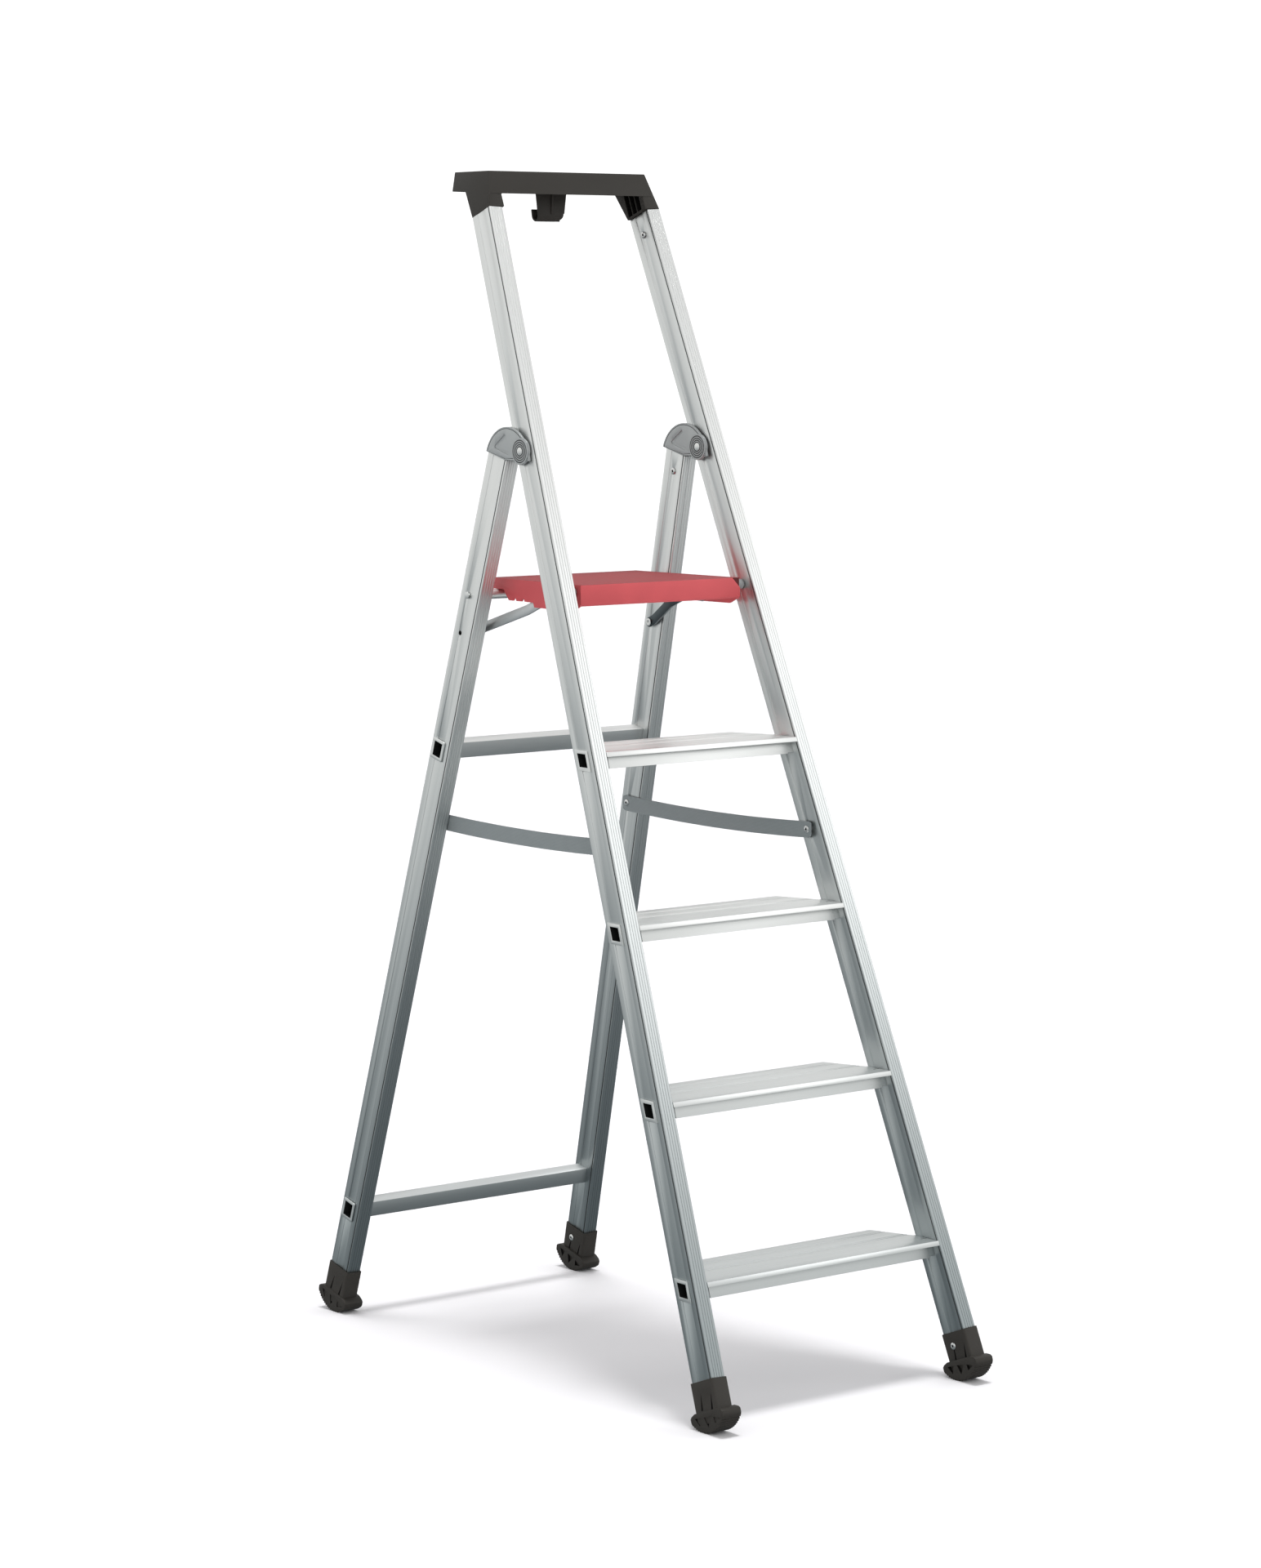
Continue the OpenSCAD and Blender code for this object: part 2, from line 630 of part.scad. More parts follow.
// A crossbar's middle along the legs, so that it folds under a tread
function bar_s(i, up) =
  rear_hinge_s - (hinge_s - (tread_z(i) / cos(front_lean) + up - bar_h / 2));
upper_bar_s = bar_s(TREADS, upper_bar_up);
lower_bar_s = bar_s(1, lower_bar_up);

// The rest bar carries the platform's ribs from below
rest_inset = 29.6;
rest_drop = 16.4;             // depth of the platform's ribs
function leg_s_at(z, v) = (z - v * sin(rear_lean)) / cos(rear_lean);
rest_s = leg_s_at(platform_z - rest_drop - rest_bar_r - 0.15, rest_inset);
function leg_point(s, v) = [
  rear_y + v * cos(rear_lean) - s * sin(rear_lean), v * sin(rear_lean) + s * cos(rear_lean)
];

// The splayed leg's square end, held clear of the level edge of its hinge
leg_end_tilt = rail_w * tan(rear_splay);
module leg(side) color([0.76, 0.77, 0.76]) difference() {
  s0 = sole_s_rear - sole_r + rail_in_foot;
  on_leg(side, s0) translate([-side * rail_w / 2, 0, 0])
    linear_extrude((rear_hinge_s - leg_cap_drop - seat_gap - s0) / cos(rear_splay) - leg_end_tilt)
      rail_section();
  for (s = [upper_bar_s, lower_bar_s])
    in_rear() translate([-big / 2, bar_inset + bar_d / 2, s])
      plate(big) square([bar_d + 2 * seat_gap, bar_h + 2 * seat_gap], center = true);
  pin_x(strut_at, pin_r - 0.5 + running_gap, 0, side * big);
  pin_x(leg_point(rest_s, rest_inset), rivet_r + running_gap, 0, side * big);
  for (at = [rear_strap_rivet, rear_foot_rivet, hinge_rivet])
    on_leg(side, at[0], at[1]) rivet_hole(side);
}

module crossbar(s) color([0.74, 0.75, 0.75]) difference() {
  union() {
    intersection() {
      in_rear() translate([-big / 2, bar_inset + bar_d / 2, s])
        plate(big) square([bar_d, bar_h], center = true);
      web_to_web(true, tube_proud);
    }
    intersection() {
      in_rear() translate([-big / 2, bar_inset + bar_d / 2, s])
        plate(big) round_rect(bar_d + 2 * rim_w, bar_h + 2 * rim_w, 3);
      rim_room(true);
    }
  }
  in_rear() translate([-big / 2, bar_inset + bar_d / 2, s]) plate(big)
    square([bar_d - 2 * tube_wall, bar_h - 2 * tube_wall], center = true);
}

module platform_rest_bar() color([0.78, 0.78, 0.77]) {
  at = leg_point(rest_s, rest_inset);
  half = leg_inner(rest_s) - rest_bar_r * tan(rear_splay) - seat_gap;
  difference() {
    pin_x(at, rest_bar_r, -half, half);
    pin_x(at, rest_bar_r - 1.5, -half - 1, half + 1);
  }
  for (side = SIDES) {
    pin_x(at, rest_bar_r - 1.5, side * (half - 8), side * half);
    pin_x(at, rivet_r, side * (half - 1), side * (rear_half(rest_s) + 1));
    pin_x(at, rivet_head_r, side * (rear_half(rest_s) + 0.6), side * (rear_half(rest_s) + 2));
  }
}

// ---- Platform -----------------------------------------------------------

platform_rear_y = lip_y + platform_depth;
pivot_inner = stile_inner(pivot_at[1] * cos(front_lean) + (pivot_at[0] - front_y) * sin(front_lean));
corner_inner = leg_inner(platform_z * cos(rear_lean) - (platform_rear_y - rear_y) * sin(rear_lean));
platform_half_front = pivot_inner - platform_gap_front;
platform_half_rear = corner_inner - platform_gap_rear;
guide_x = platform_half_rear - 10;
rib_xs = [for (k = [0, 0.354, 0.709, 0.96]) k * guide_x];
deck_groove = [2.4, 1];
deck_groove_pitch = 12;
deck_groove_last = floor((platform_half_rear - 8) / deck_groove_pitch - 0.5) + 0.5;

// A plan outline of the platform, narrower by a gap on each side
module deck_plan(gap) polygon([
  [-platform_half_front + gap, 0], [platform_half_front - gap, 0],
  [platform_half_rear - gap, platform_depth], [-platform_half_rear + gap, platform_depth]
]);
module deck_block(gap) translate([0, lip_y, platform_z - 100]) linear_extrude(200) deck_plan(gap);

// Side view of the platform, from the lip's top edge
skirt_step = [88, 122];       // the skirt's deep part ends between these
rear_h = 16.4;                // height of the platform at its rear
module deck_side() polygon([
  [0, 0], [0, -platform_lip_h + 3], [3, -platform_lip_h], [20, -skirt_h],
  [skirt_step[1], -skirt_h], [skirt_step[1] + 3, -skirt_h + 7], [190, -skirt_h + 7],
  [199, -rear_h - 6], [204, -rear_h], [platform_depth, -rear_h], [platform_depth, 0]
]);
module platform() color([0.76, 0.24, 0.29]) difference() {
  union() {
    intersection() {
      translate([-big / 2, lip_y, platform_z]) plate(big) difference() {
        deck_side();
        translate([platform_wall, -big - platform_wall])
          square([platform_depth - 2 * platform_wall, big]);
      }
      deck_block(0);
    }
    intersection() {
      translate([-big / 2, lip_y, platform_z]) plate(big) deck_side();
      difference() {
        deck_block(0);
        deck_block(platform_wall);
      }
    }
    for (side = SIDES, x = rib_xs) if (x > 0 || side > 0)
      translate([side * x - 1.2, lip_y + 1, platform_z]) plate(2.4)
        polygon([[0, -1], [0, -platform_lip_h + 8], [14, -rear_h],
          [platform_depth - 2, -rear_h], [platform_depth - 2, -1]]);
  }
  for (x = [-deck_groove_last:1:deck_groove_last])
    translate([x * deck_groove_pitch - deck_groove[0] / 2, lip_y + 12, platform_z - deck_groove[1]])
      cube([deck_groove[0], platform_depth - 24, 2]);
  pin_x(pivot_at, pin_r + running_gap, -big / 2, big / 2);
}

// The plate that guides a strut's upper pin: its window follows the pin
guide_t = 3;
guide_pin_r = 3.5;
guide_room = 1.2;             // room round the pin in its window

// [y, z] points turned about a centre, as the hinge and the platform turn
function turned(p, c, a) = c + [
  (p[0] - c[0]) * cos(a) - (p[1] - c[1]) * sin(a), (p[0] - c[0]) * sin(a) + (p[1] - c[1]) * cos(a)
];
strut_ratio = 0.92;           // a strut's turn on the leg, for each turn of the hinge
deck_ratio = deck_fold / fold_angle;
function guide_path(a) = let (
    low = turned(strut_at, hinge_at, -a),
    high = turned(low + guide_at - strut_at, low, -a - strut_ratio * a)
  ) turned(high, pivot_at, -deck_ratio * a);

module guide(side) color([0.70, 0.71, 0.71]) {
  steps = 6;
  difference() {
    translate([side * (guide_x + guide_t / 2) - guide_t / 2, pivot_at[0], pivot_at[1]])
      plate(guide_t) polygon([
        [30, pivot_down - platform_wall - seat_gap], [105, pivot_down - platform_wall - seat_gap],
        [100, -24], [45, -27], [35, -20]
      ]);
    for (j = [0:steps - 1]) hull() for (e = [j, j + 1]) {
      at = guide_path(fold_angle * e / steps);
      pin_x(at, guide_pin_r + guide_room, side * (guide_x - 5), side * (guide_x + 10));
    }
  }
}

spacer_r = 7.5;
module platform_pins() color([0.72, 0.72, 0.71]) for (side = SIDES) {
  wall = platform_half_front - platform_wall - 1.5;
  pin_x(pivot_at, pin_r, side * (wall - pin_head_h / 2), side * (pivot_inner + 4));
  pin_x(pivot_at, pin_head_r, side * wall, side * (wall - pin_head_h));
}
module platform_spacers() color([0.60, 0.61, 0.61]) for (side = SIDES) difference() {
  pin_x(pivot_at, spacer_r, side * (platform_half_front + fold_gap),
    side * (pivot_inner - spacer_r * tan(front_splay) - seat_gap));
  pin_x(pivot_at, pin_r + running_gap, 0, side * big);
}

// ---- Struts -------------------------------------------------------------

// A strut's outer face lies at strut_low_x at its lower eye, and above its bend
// at strut_high_x
strut_len = norm(guide_at - strut_at);
strut_angle = atan2(guide_at[1] - strut_at[1], guide_at[0] - strut_at[0]);
strut_low_x = leg_inner(strut_s) - strut_w / 2 * tan(rear_splay) - fold_gap;
strut_high_x = guide_x + guide_t + 7;
strut_eye_l = 13;
strut_bend = 100;             // distance of the upper bend from the lower pin
strut_pin_r = pin_r - 0.5;

module strut(side) color([0.74, 0.75, 0.75]) mirror([side < 0 ? 1 : 0, 0, 0])
  translate([0, strut_at[0], strut_at[1]]) rotate([strut_angle, 0, 0]) difference() {
    union() {
      translate([0, 0, -strut_w / 2]) linear_extrude(strut_w) polygon([
        [strut_low_x, 0], [strut_low_x, strut_eye_l], [strut_high_x, strut_bend],
        [strut_high_x, strut_len], [strut_high_x - strut_t, strut_len],
        [strut_high_x - strut_t, strut_bend - 2], [strut_low_x - strut_t, strut_eye_l - 2],
        [strut_low_x - strut_t, 0]
      ]);
      pin_x([0, 0], strut_w / 2, strut_low_x - strut_t, strut_low_x);
      pin_x([strut_len, 0], strut_w / 2, strut_high_x - strut_t, strut_high_x);
    }
    pin_x([0, 0], strut_pin_r + running_gap, 0, big);
    pin_x([strut_len, 0], guide_pin_r + running_gap, 0, big);
  }

module strut_pins() color([0.72, 0.72, 0.71]) for (side = SIDES) {
  seat = strut_low_x - strut_t - 0.2;
  pin_x(strut_at, strut_pin_r, side * (seat - 0.4), side * (leg_inner(strut_s) + 5));
  difference() {
    pin_x(strut_at, strut_pin_r + 2.5, side * (seat - 1.6), side * seat);
    pin_x(strut_at, 1.8, side * (seat - 3), side * (seat - 0.6));
  }
}
module guide_pins() color([0.72, 0.72, 0.71]) for (side = SIDES) {
  pin_x(guide_at, guide_pin_r, side * (guide_x - 1), side * (strut_high_x + 0.9));
  pin_x(guide_at, guide_pin_r + 2.5, side * (strut_high_x + 0.2), side * (strut_high_x + 1.6));
}

// ---- Straps -------------------------------------------------------------

strap_steps = 16;
strap_end = 10;               // a strap runs this far past its rivets
// A point of the front frame's plane, as [y, z]
function front_point(s, v) = [
  front_y + v * cos(front_lean) + s * sin(front_lean), -v * sin(front_lean) + s * cos(front_lean)
];
strap_gap = 0.4;
strap_x = min(
  stile_inner(front_strap_rivet[0] + strap_w), leg_inner(rear_strap_rivet[0] + strap_w)
) - strap_gap;

// The rivets stand square to the splayed webs, so they pass the inner ones lower
strap_front = front_point(
  front_strap_rivet[0] - (rail_w + strap_t) * sin(front_splay), front_strap_rivet[1]);
strap_rear = leg_point(
  rear_strap_rivet[0] - (rail_w + strap_t) * sin(rear_splay), rear_strap_rivet[1]);

function strap_mid(t) = strap_front + (strap_rear - strap_front) * t
  - [0, strap_sag * (1 - pow(2 * t - 1, 2))];
module strap(side) color([0.55, 0.58, 0.58]) difference() {
  ends = strap_end / norm(strap_rear - strap_front);
  ts = [for (j = [0:strap_steps]) -ends + (1 + 2 * ends) * j / strap_steps];
  translate([side > 0 ? strap_x - strap_t : -strap_x, 0, 0]) plate(strap_t) polygon(concat(
    [for (t = ts) strap_mid(t) + [0, strap_w / 2]],
    [for (j = [strap_steps:-1:0]) strap_mid(ts[j]) - [0, strap_w / 2]]
  ));
  for (at = [strap_front, strap_rear]) pin_x(at, rivet_r + 0.4, 0, side * big);
}

module strap_rivets(rear) color([0.75, 0.75, 0.74]) for (side = SIDES) {
  at = rear ? rear_strap_rivet : front_strap_rivet;
  inner = rear ? leg_inner(at[0]) : stile_inner(at[0]);
  on_rail(rear, side, at[0], at[1]) web_rivet(side, inner - strap_x + strap_t + strap_gap, 8);
}

// ---- Nodes --------------------------------------------------------------

stile(-1);  // stile_left
stile(1);  // stile_right
tread(1);  // tread_1
tread(2);  // tread_2
tread(3);  // tread_3
tread(4);  // tread_4
tool_tray();
tray_rivets();
bucket_hook();
foot(false, -1);  // foot_front_left
foot(false, 1);  // foot_front_right
foot_rivets(false);  // foot_rivets_front
hinge_pins();
hinge_sleeves();
platform_pins();
platform_spacers();
strap(-1);  // strap_left
strap(1);  // strap_right
strap_rivets(false);  // strap_rivets_front
leg(-1);  // leg_left
leg(1);  // leg_right
crossbar(upper_bar_s);  // crossbar_upper
crossbar(lower_bar_s);  // crossbar_lower
platform_rest_bar();
hinge(-1);  // hinge_left
hinge(1);  // hinge_right
hinge_rivets();
foot(true, -1);  // foot_rear_left
foot(true, 1);  // foot_rear_right
foot_rivets(true);  // foot_rivets_rear
strap_rivets(true);  // strap_rivets_rear
strut_pins();
platform();
guide(-1);  // guide_left
guide(1);  // guide_right
strut(-1);  // strut_left
strut(1);  // strut_right
guide_pins();
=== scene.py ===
"""Folding step ladder: its finished look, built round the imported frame."""

import json
from contextlib import contextmanager
from math import atan2, cos, degrees, pi, radians, sin, sqrt, tan

import bmesh
import bpy
from bpy.props import FloatProperty, FloatVectorProperty, PointerProperty
from mathutils import Matrix, Vector


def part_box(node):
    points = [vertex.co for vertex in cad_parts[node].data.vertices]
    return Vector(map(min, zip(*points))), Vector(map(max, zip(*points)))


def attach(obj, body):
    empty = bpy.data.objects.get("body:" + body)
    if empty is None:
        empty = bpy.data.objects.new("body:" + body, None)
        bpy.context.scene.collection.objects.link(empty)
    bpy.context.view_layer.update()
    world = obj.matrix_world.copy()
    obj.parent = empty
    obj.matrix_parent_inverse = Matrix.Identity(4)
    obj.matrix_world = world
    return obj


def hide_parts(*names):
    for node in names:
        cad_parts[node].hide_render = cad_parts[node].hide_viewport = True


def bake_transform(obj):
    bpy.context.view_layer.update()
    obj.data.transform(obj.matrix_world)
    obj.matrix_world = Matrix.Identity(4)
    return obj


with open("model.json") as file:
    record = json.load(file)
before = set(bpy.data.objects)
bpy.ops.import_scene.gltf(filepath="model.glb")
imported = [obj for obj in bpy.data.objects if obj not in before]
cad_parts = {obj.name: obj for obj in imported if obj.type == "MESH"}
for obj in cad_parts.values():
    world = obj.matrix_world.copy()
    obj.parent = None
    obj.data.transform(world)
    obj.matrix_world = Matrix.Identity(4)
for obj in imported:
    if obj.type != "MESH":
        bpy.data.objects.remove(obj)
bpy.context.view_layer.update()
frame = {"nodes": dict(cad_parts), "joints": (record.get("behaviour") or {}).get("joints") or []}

bl_info = {
    "name": "Step ladder",
    "version": (1, 0, 0),
    "blender": (4, 5, 0),
    "location": "View3D > Sidebar > Ladder",
    "description": "Builds the finished pieces of a folding step ladder round its frame",
    "category": "Object",
}

SIDES = {"left": -1, "right": 1}
SAME_POINT = 2e-5  # points closer than this are merged
SHORT_EDGE = 1e-4  # edges shorter than this stop a bevel


# ---- Places, all read from the frame ------------------------------------


def joint(name):
    return next(j for j in frame["joints"] if j["name"] == name)


HINGE = Vector(joint("rear_fold")["pos_m"])
PIVOT = Vector(joint("platform_fold")["pos_m"])
FOLD = radians(joint("rear_fold")["range_deg"][1])


def box(node):
    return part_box(node)


def slope(axis, low_node, high_node, corner, rise):
    """How far a corner moves along an axis between two like nodes, for each metre of rise."""
    low, high = box(low_node)[corner], box(high_node)[corner]
    return (low[axis] - high[axis]) / rise


TREAD_RISE = box("tread_4")[1].z - box("tread_1")[1].z
BAR_RISE = box("crossbar_upper")[1].z - box("crossbar_lower")[1].z
FRONT_LEAN = atan2(-slope(1, "tread_1", "tread_4", 0, 1), TREAD_RISE)
REAR_LEAN = FOLD - FRONT_LEAN
FRONT_SPLAY = atan2(slope(0, "tread_1", "tread_4", 1, 1), TREAD_RISE / cos(FRONT_LEAN))
REAR_SPLAY = atan2(slope(0, "crossbar_lower", "crossbar_upper", 1, 1), BAR_RISE / cos(REAR_LEAN))


class Rails:
    """One frame's plane, and where its two rails lie in it.

    s runs up the frame from the floor, v runs from the rails' front face to the
    back, and a rail's outer web is the plane x = 0 of its own place.
    """

    def __init__(self, node, lean, splay):
        self.lean, self.splay = lean, splay
        points = [v.co for v in frame["nodes"][node].data.vertices]
        depths = [p.y * cos(lean) + p.z * sin(lean) for p in points]
        self.depth = max(depths) - min(depths)
        self.plane = Matrix.Translation((0, min(depths) / cos(lean), 0)) @ Matrix.Rotation(lean, 4, "X")
        local = [self.plane.inverted() @ p for p in points]
        self.foot_half = max(p.x + p.z * tan(splay) for p in local)
        self.low, self.top = min(p.z for p in local), max(p.z for p in local)
        self.width = 2 * max(abs(p.x - self.half(p.z)) for p in local) / 2 * cos(splay)

    def half(self, s):
        """Half width over the two outer webs."""
        return self.foot_half - s * tan(self.splay)

    def place(self, side, s, v=0.0):
        """A point of an outer web, with Z along that rail."""
        at = Matrix.Translation((side * self.half(s), v, s))
        return self.plane @ at @ Matrix.Rotation(-side * self.splay, 4, "Y")


FRONT = Rails("stile_right", -FRONT_LEAN, FRONT_SPLAY)
REAR = Rails("leg_right", REAR_LEAN, REAR_SPLAY)


# ---- Modelling helpers --------------------------------------------------


def only(*pieces):
    """Selects these objects and nothing else; the first is active."""
    if bpy.context.object and bpy.context.object.mode != "OBJECT":
        bpy.ops.object.mode_set(mode="OBJECT")
    bpy.ops.object.select_all(action="DESELECT")
    for piece in pieces:
        piece.select_set(True)
    bpy.context.view_layer.objects.active = pieces[0]


@contextmanager
def editing(piece):
    only(piece)
    bpy.ops.object.mode_set(mode="EDIT")
    bpy.ops.mesh.select_all(action="SELECT")
    yield
    bpy.ops.object.mode_set(mode="OBJECT")


def pick(piece, kind, wanted):
    """In edit mode, selects the faces or edges for which wanted() is true."""
    bpy.ops.mesh.select_all(action="DESELECT")
    bpy.ops.mesh.select_mode(type=kind)
    mesh = bmesh.from_edit_mesh(piece.data)
    for part in mesh.faces if kind == "FACE" else mesh.edges:
        part.select_set(bool(wanted(part)))
    bmesh.update_edit_mesh(piece.data)


def made(name):
    """The object just added, named, with its place put into its mesh."""
    bpy.ops.object.transform_apply(location=True, rotation=True, scale=True)
    piece = bpy.context.object
    piece.name = piece.data.name = name
    return piece


def block(name, low, high):
    """A box between two corners."""
    corners = list(zip(low, high))
    low, high = Vector([min(pair) for pair in corners]), Vector([max(pair) for pair in corners])
    only_nothing()
    bpy.ops.mesh.primitive_cube_add(size=1, location=(low + high) / 2, scale=high - low)
    return made(name)


def only_nothing():
    if bpy.context.object and bpy.context.object.mode != "OBJECT":
        bpy.ops.object.mode_set(mode="OBJECT")
    bpy.ops.object.select_all(action="DESELECT")


def ring(name, points):
    """A flat face with one corner on each point."""
    only_nothing()
    bpy.ops.mesh.primitive_circle_add(vertices=len(points), radius=1, fill_type="NGON")
    piece = made(name)
    for vertex, point in zip(piece.data.vertices, points):
        vertex.co = point
    return piece


def outwards(piece):
    with editing(piece):
        bpy.ops.mesh.normals_make_consistent(inside=False)


def plate(name, outline, x0, x1):
    """A [y, z] outline that runs along X from x0 to x1."""
    piece = ring(name, [(x0, y, z) for y, z in outline])
    with editing(piece):
        bpy.ops.mesh.extrude_region_move(TRANSFORM_OT_translate={"value": (x1 - x0, 0, 0)})
    outwards(piece)
    return piece


def turned(name, profile, at, steps=32):
    """An [r, x] profile spun round an X axis through a point."""
    piece = ring(name, [(at[0] + x, at[1] + r, at[2]) for r, x in profile])
    with editing(piece):
        bpy.ops.mesh.spin(steps=steps, angle=2 * pi, center=at, axis=(1, 0, 0))
        bpy.ops.mesh.select_all(action="SELECT")
        bpy.ops.mesh.remove_doubles(threshold=1e-6)
        bpy.ops.mesh.dissolve_degenerate(threshold=1e-7)
        bpy.ops.mesh.delete_loose()
    drop_inner_faces(piece)
    outwards(piece)
    return piece


def drop_inner_faces(piece):
    """Takes out the profile's own face, which the spin leaves inside the turned solid."""
    with editing(piece):
        pick(piece, "FACE", lambda f: any(len(e.link_faces) > 2 for e in f.edges) and len(f.verts) > 4)
        bpy.ops.mesh.delete(type="FACE")


def arc(centre, radius, start, end, steps):
    """Points along an arc, with its angles in degrees."""
    angles = [radians(start + (end - start) * i / steps) for i in range(steps + 1)]
    return [(centre[0] + radius * cos(a), centre[1] + radius * sin(a)) for a in angles]


def cut(piece, point, normal):
    """Cuts off what lies on the normal's side of a plane, and closes the cut."""
    with editing(piece):
        bpy.ops.mesh.bisect(plane_co=point, plane_no=normal, use_fill=True, clear_outer=True)


def modify(piece, kind, **settings):
    """Adds a modifier and applies it."""
    only(piece)
    bpy.ops.object.modifier_add(type=kind)
    modifier = piece.modifiers[-1]
    for key, value in settings.items():
        setattr(modifier, key, value)
    bpy.ops.object.modifier_apply(modifier=modifier.name)


def combine(piece, other, operation="UNION"):
    """Joins another solid to a piece, or cuts it out, and uses it up."""
    if len(piece.data.materials) and not len(other.data.materials):
        other.data.materials.append(piece.data.materials[0])
    modify(
        piece, "BOOLEAN", object=other, operation=operation, solver="EXACT", material_mode="TRANSFER"
    )
    bpy.data.objects.remove(other)


def carve(piece, *cutters):
    for cutter in cutters:
        combine(piece, cutter, "DIFFERENCE")


def tidy(piece):
    """Merges a boolean's leftovers before the edges are rounded."""
    with editing(piece):
        bpy.ops.mesh.remove_doubles(threshold=SAME_POINT)
        bpy.ops.mesh.dissolve_limited(angle_limit=radians(0.5))
        bpy.ops.mesh.select_all(action="SELECT")
        bpy.ops.mesh.fill_holes(sides=0)


def without_short_edges(piece):
    """Merges the edges that are too short for a bevel, which would stop it everywhere."""
    with editing(piece):
        bpy.ops.mesh.dissolve_degenerate(threshold=SHORT_EDGE)


def rounded(piece, width, segments=3, angle=30):
    modify(
        piece, "BEVEL", width=width, segments=segments, limit_method="ANGLE",
        angle_limit=radians(angle), use_clamp_overlap=True,
    )


def smooth(piece, angle=35):
    only(piece)
    bpy.ops.object.shade_smooth_by_angle(angle=radians(angle))


def paint(piece, finish, wanted):
    """Gives the faces for which wanted() is true another finish."""
    if finish.name not in piece.data.materials:
        piece.data.materials.append(finish)
    slot = piece.data.materials.find(finish.name)
    for face in piece.data.polygons:
        if wanted(face):
            face.material_index = slot


def moved(piece, matrix):
    piece.data.transform(matrix)
    return piece


def cad_copy(node, name, whole_faces=True):
    """A copy of a frame node with its loose triangles merged, into whole faces by default."""
    source = frame["nodes"][node]
    piece = bpy.data.objects.new(name, source.data.copy())
    bpy.context.scene.collection.objects.link(piece)
    piece.data.materials.clear()
    with editing(piece):
        bpy.ops.mesh.customdata_custom_splitnormals_clear()
        bpy.ops.mesh.remove_doubles(threshold=SAME_POINT)
        if whole_faces:
            bpy.ops.mesh.dissolve_limited(angle_limit=radians(0.6))
    return piece


def finished(piece, finish, body, slot, *nodes):
    """Gives a piece its material and its body, and hides the frame nodes that it stands for."""
    if len(piece.data.materials) == 0:
        piece.data.materials.append(finish)
    for i, material in enumerate(piece.data.materials):
        piece.data.materials[i] = material or finish
    with editing(piece):
        bpy.ops.mesh.remove_doubles(threshold=1e-6)
        bpy.ops.mesh.select_all(action="SELECT")
        bpy.ops.mesh.fill_holes(sides=0)
    modify(piece, "TRIANGULATE", ngon_method="BEAUTY", min_vertices=5)
    smooth(piece)
    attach(piece, body)
    if nodes:
        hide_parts(*nodes)
    return piece


# ---- Shader helpers -----------------------------------------------------


class Value:
    """A number socket that adds Math nodes when it is used in an expression."""

    def __init__(self, finish, socket):
        self.finish, self.socket = finish, socket

    def math(self, operation, *inputs):
        return self.finish.node("ShaderNodeMath", {"operation": operation}, dict(enumerate(inputs)))

    def __add__(self, other):
        return self.math("ADD", self, other)

    def __sub__(self, other):
        return self.math("SUBTRACT", self, other)

    def __mul__(self, other):
        return self.math("MULTIPLY", self, other)

    def __rsub__(self, other):
        return self.math("SUBTRACT", other, self)

    def __abs__(self):
        return self.math("ABSOLUTE", self)

    __radd__, __rmul__ = __add__, __mul__

    def clamped(self, low, high):
        """0 at low, 1 at high, straight between."""
        settings = {"clamp": True}
        return self.finish.node(
            "ShaderNodeMapRange", settings, {"Value": self, "From Min": low, "From Max": high}
        )


class Finish:
    """A material being made, with one method that adds any node."""

    def __init__(self, name, **constants):
        self.material = bpy.data.materials.new(name)
        self.material.use_nodes = True
        self.tree = self.material.node_tree
        self.shader = self.tree.nodes["Principled BSDF"]
        for key, value in constants.items():
            self.shader.inputs[key.replace("_", " ")].default_value = value

    def node(self, kind, settings=None, sockets=None, output=0):
        made_node = self.tree.nodes.new(kind)
        for key, value in (settings or {}).items():
            if key == "stops":
                self.set_stops(made_node.color_ramp, value)
            else:
                setattr(made_node, key, value)
        for key, value in (sockets or {}).items():
            self.put(made_node.inputs[key], value)
        return Value(self, made_node.outputs[output])

    def set_stops(self, ramp, stops):
        for element, (position, tone) in zip(ramp.elements, stops):
            element.position = position
            element.color = (tone, tone, tone, 1)

    def put(self, socket, value):
        if isinstance(value, Value):
            self.tree.links.new(value.socket, socket)
        else:
            socket.default_value = value

    def to_shader(self, name, value):
        self.put(self.shader.inputs[name], value)

    def place(self):
        """X, Y and Z of the piece's own place, in metres."""
        at = self.node("ShaderNodeTexCoord", output=3)
        parts = self.node("ShaderNodeSeparateXYZ", sockets={0: at}).socket.node
        return [Value(self, parts.outputs[i]) for i in range(3)]

    def point(self, x, y, z):
        return self.node("ShaderNodeCombineXYZ", sockets={0: x, 1: y, 2: z})

    def noise(self, vector, scale, detail=2.0, roughness=0.5):
        sockets = {"Vector": vector, "Scale": scale, "Detail": detail, "Roughness": roughness}
        return self.node("ShaderNodeTexNoise", sockets=sockets)

    def mix(self, factor, first, second):
        """A colour between two others."""
        return self.node(
            "ShaderNodeMix", {"data_type": "RGBA"}, {0: factor, 6: first, 7: second}, output=2
        )

    def bump(self, height, strength, distance):
        self.to_shader("Normal", self.node(
            "ShaderNodeBump", sockets={"Height": height, "Strength": strength, "Distance": distance}
        ))


def tone(colour, factor=1.0):
    return (*[c * factor for c in colour], 1.0)


# ---- Finishes -----------------------------------------------------------


def rail_coordinates(finish, rails):
    """Across, through and along a leaning, splayed rail."""
    x, y, z = finish.place()
    through = y * cos(rails.lean) + z * sin(rails.lean)
    along = z * cos(rails.lean) - y * sin(rails.lean)
    return abs(x) + along * tan(rails.splay), through, along


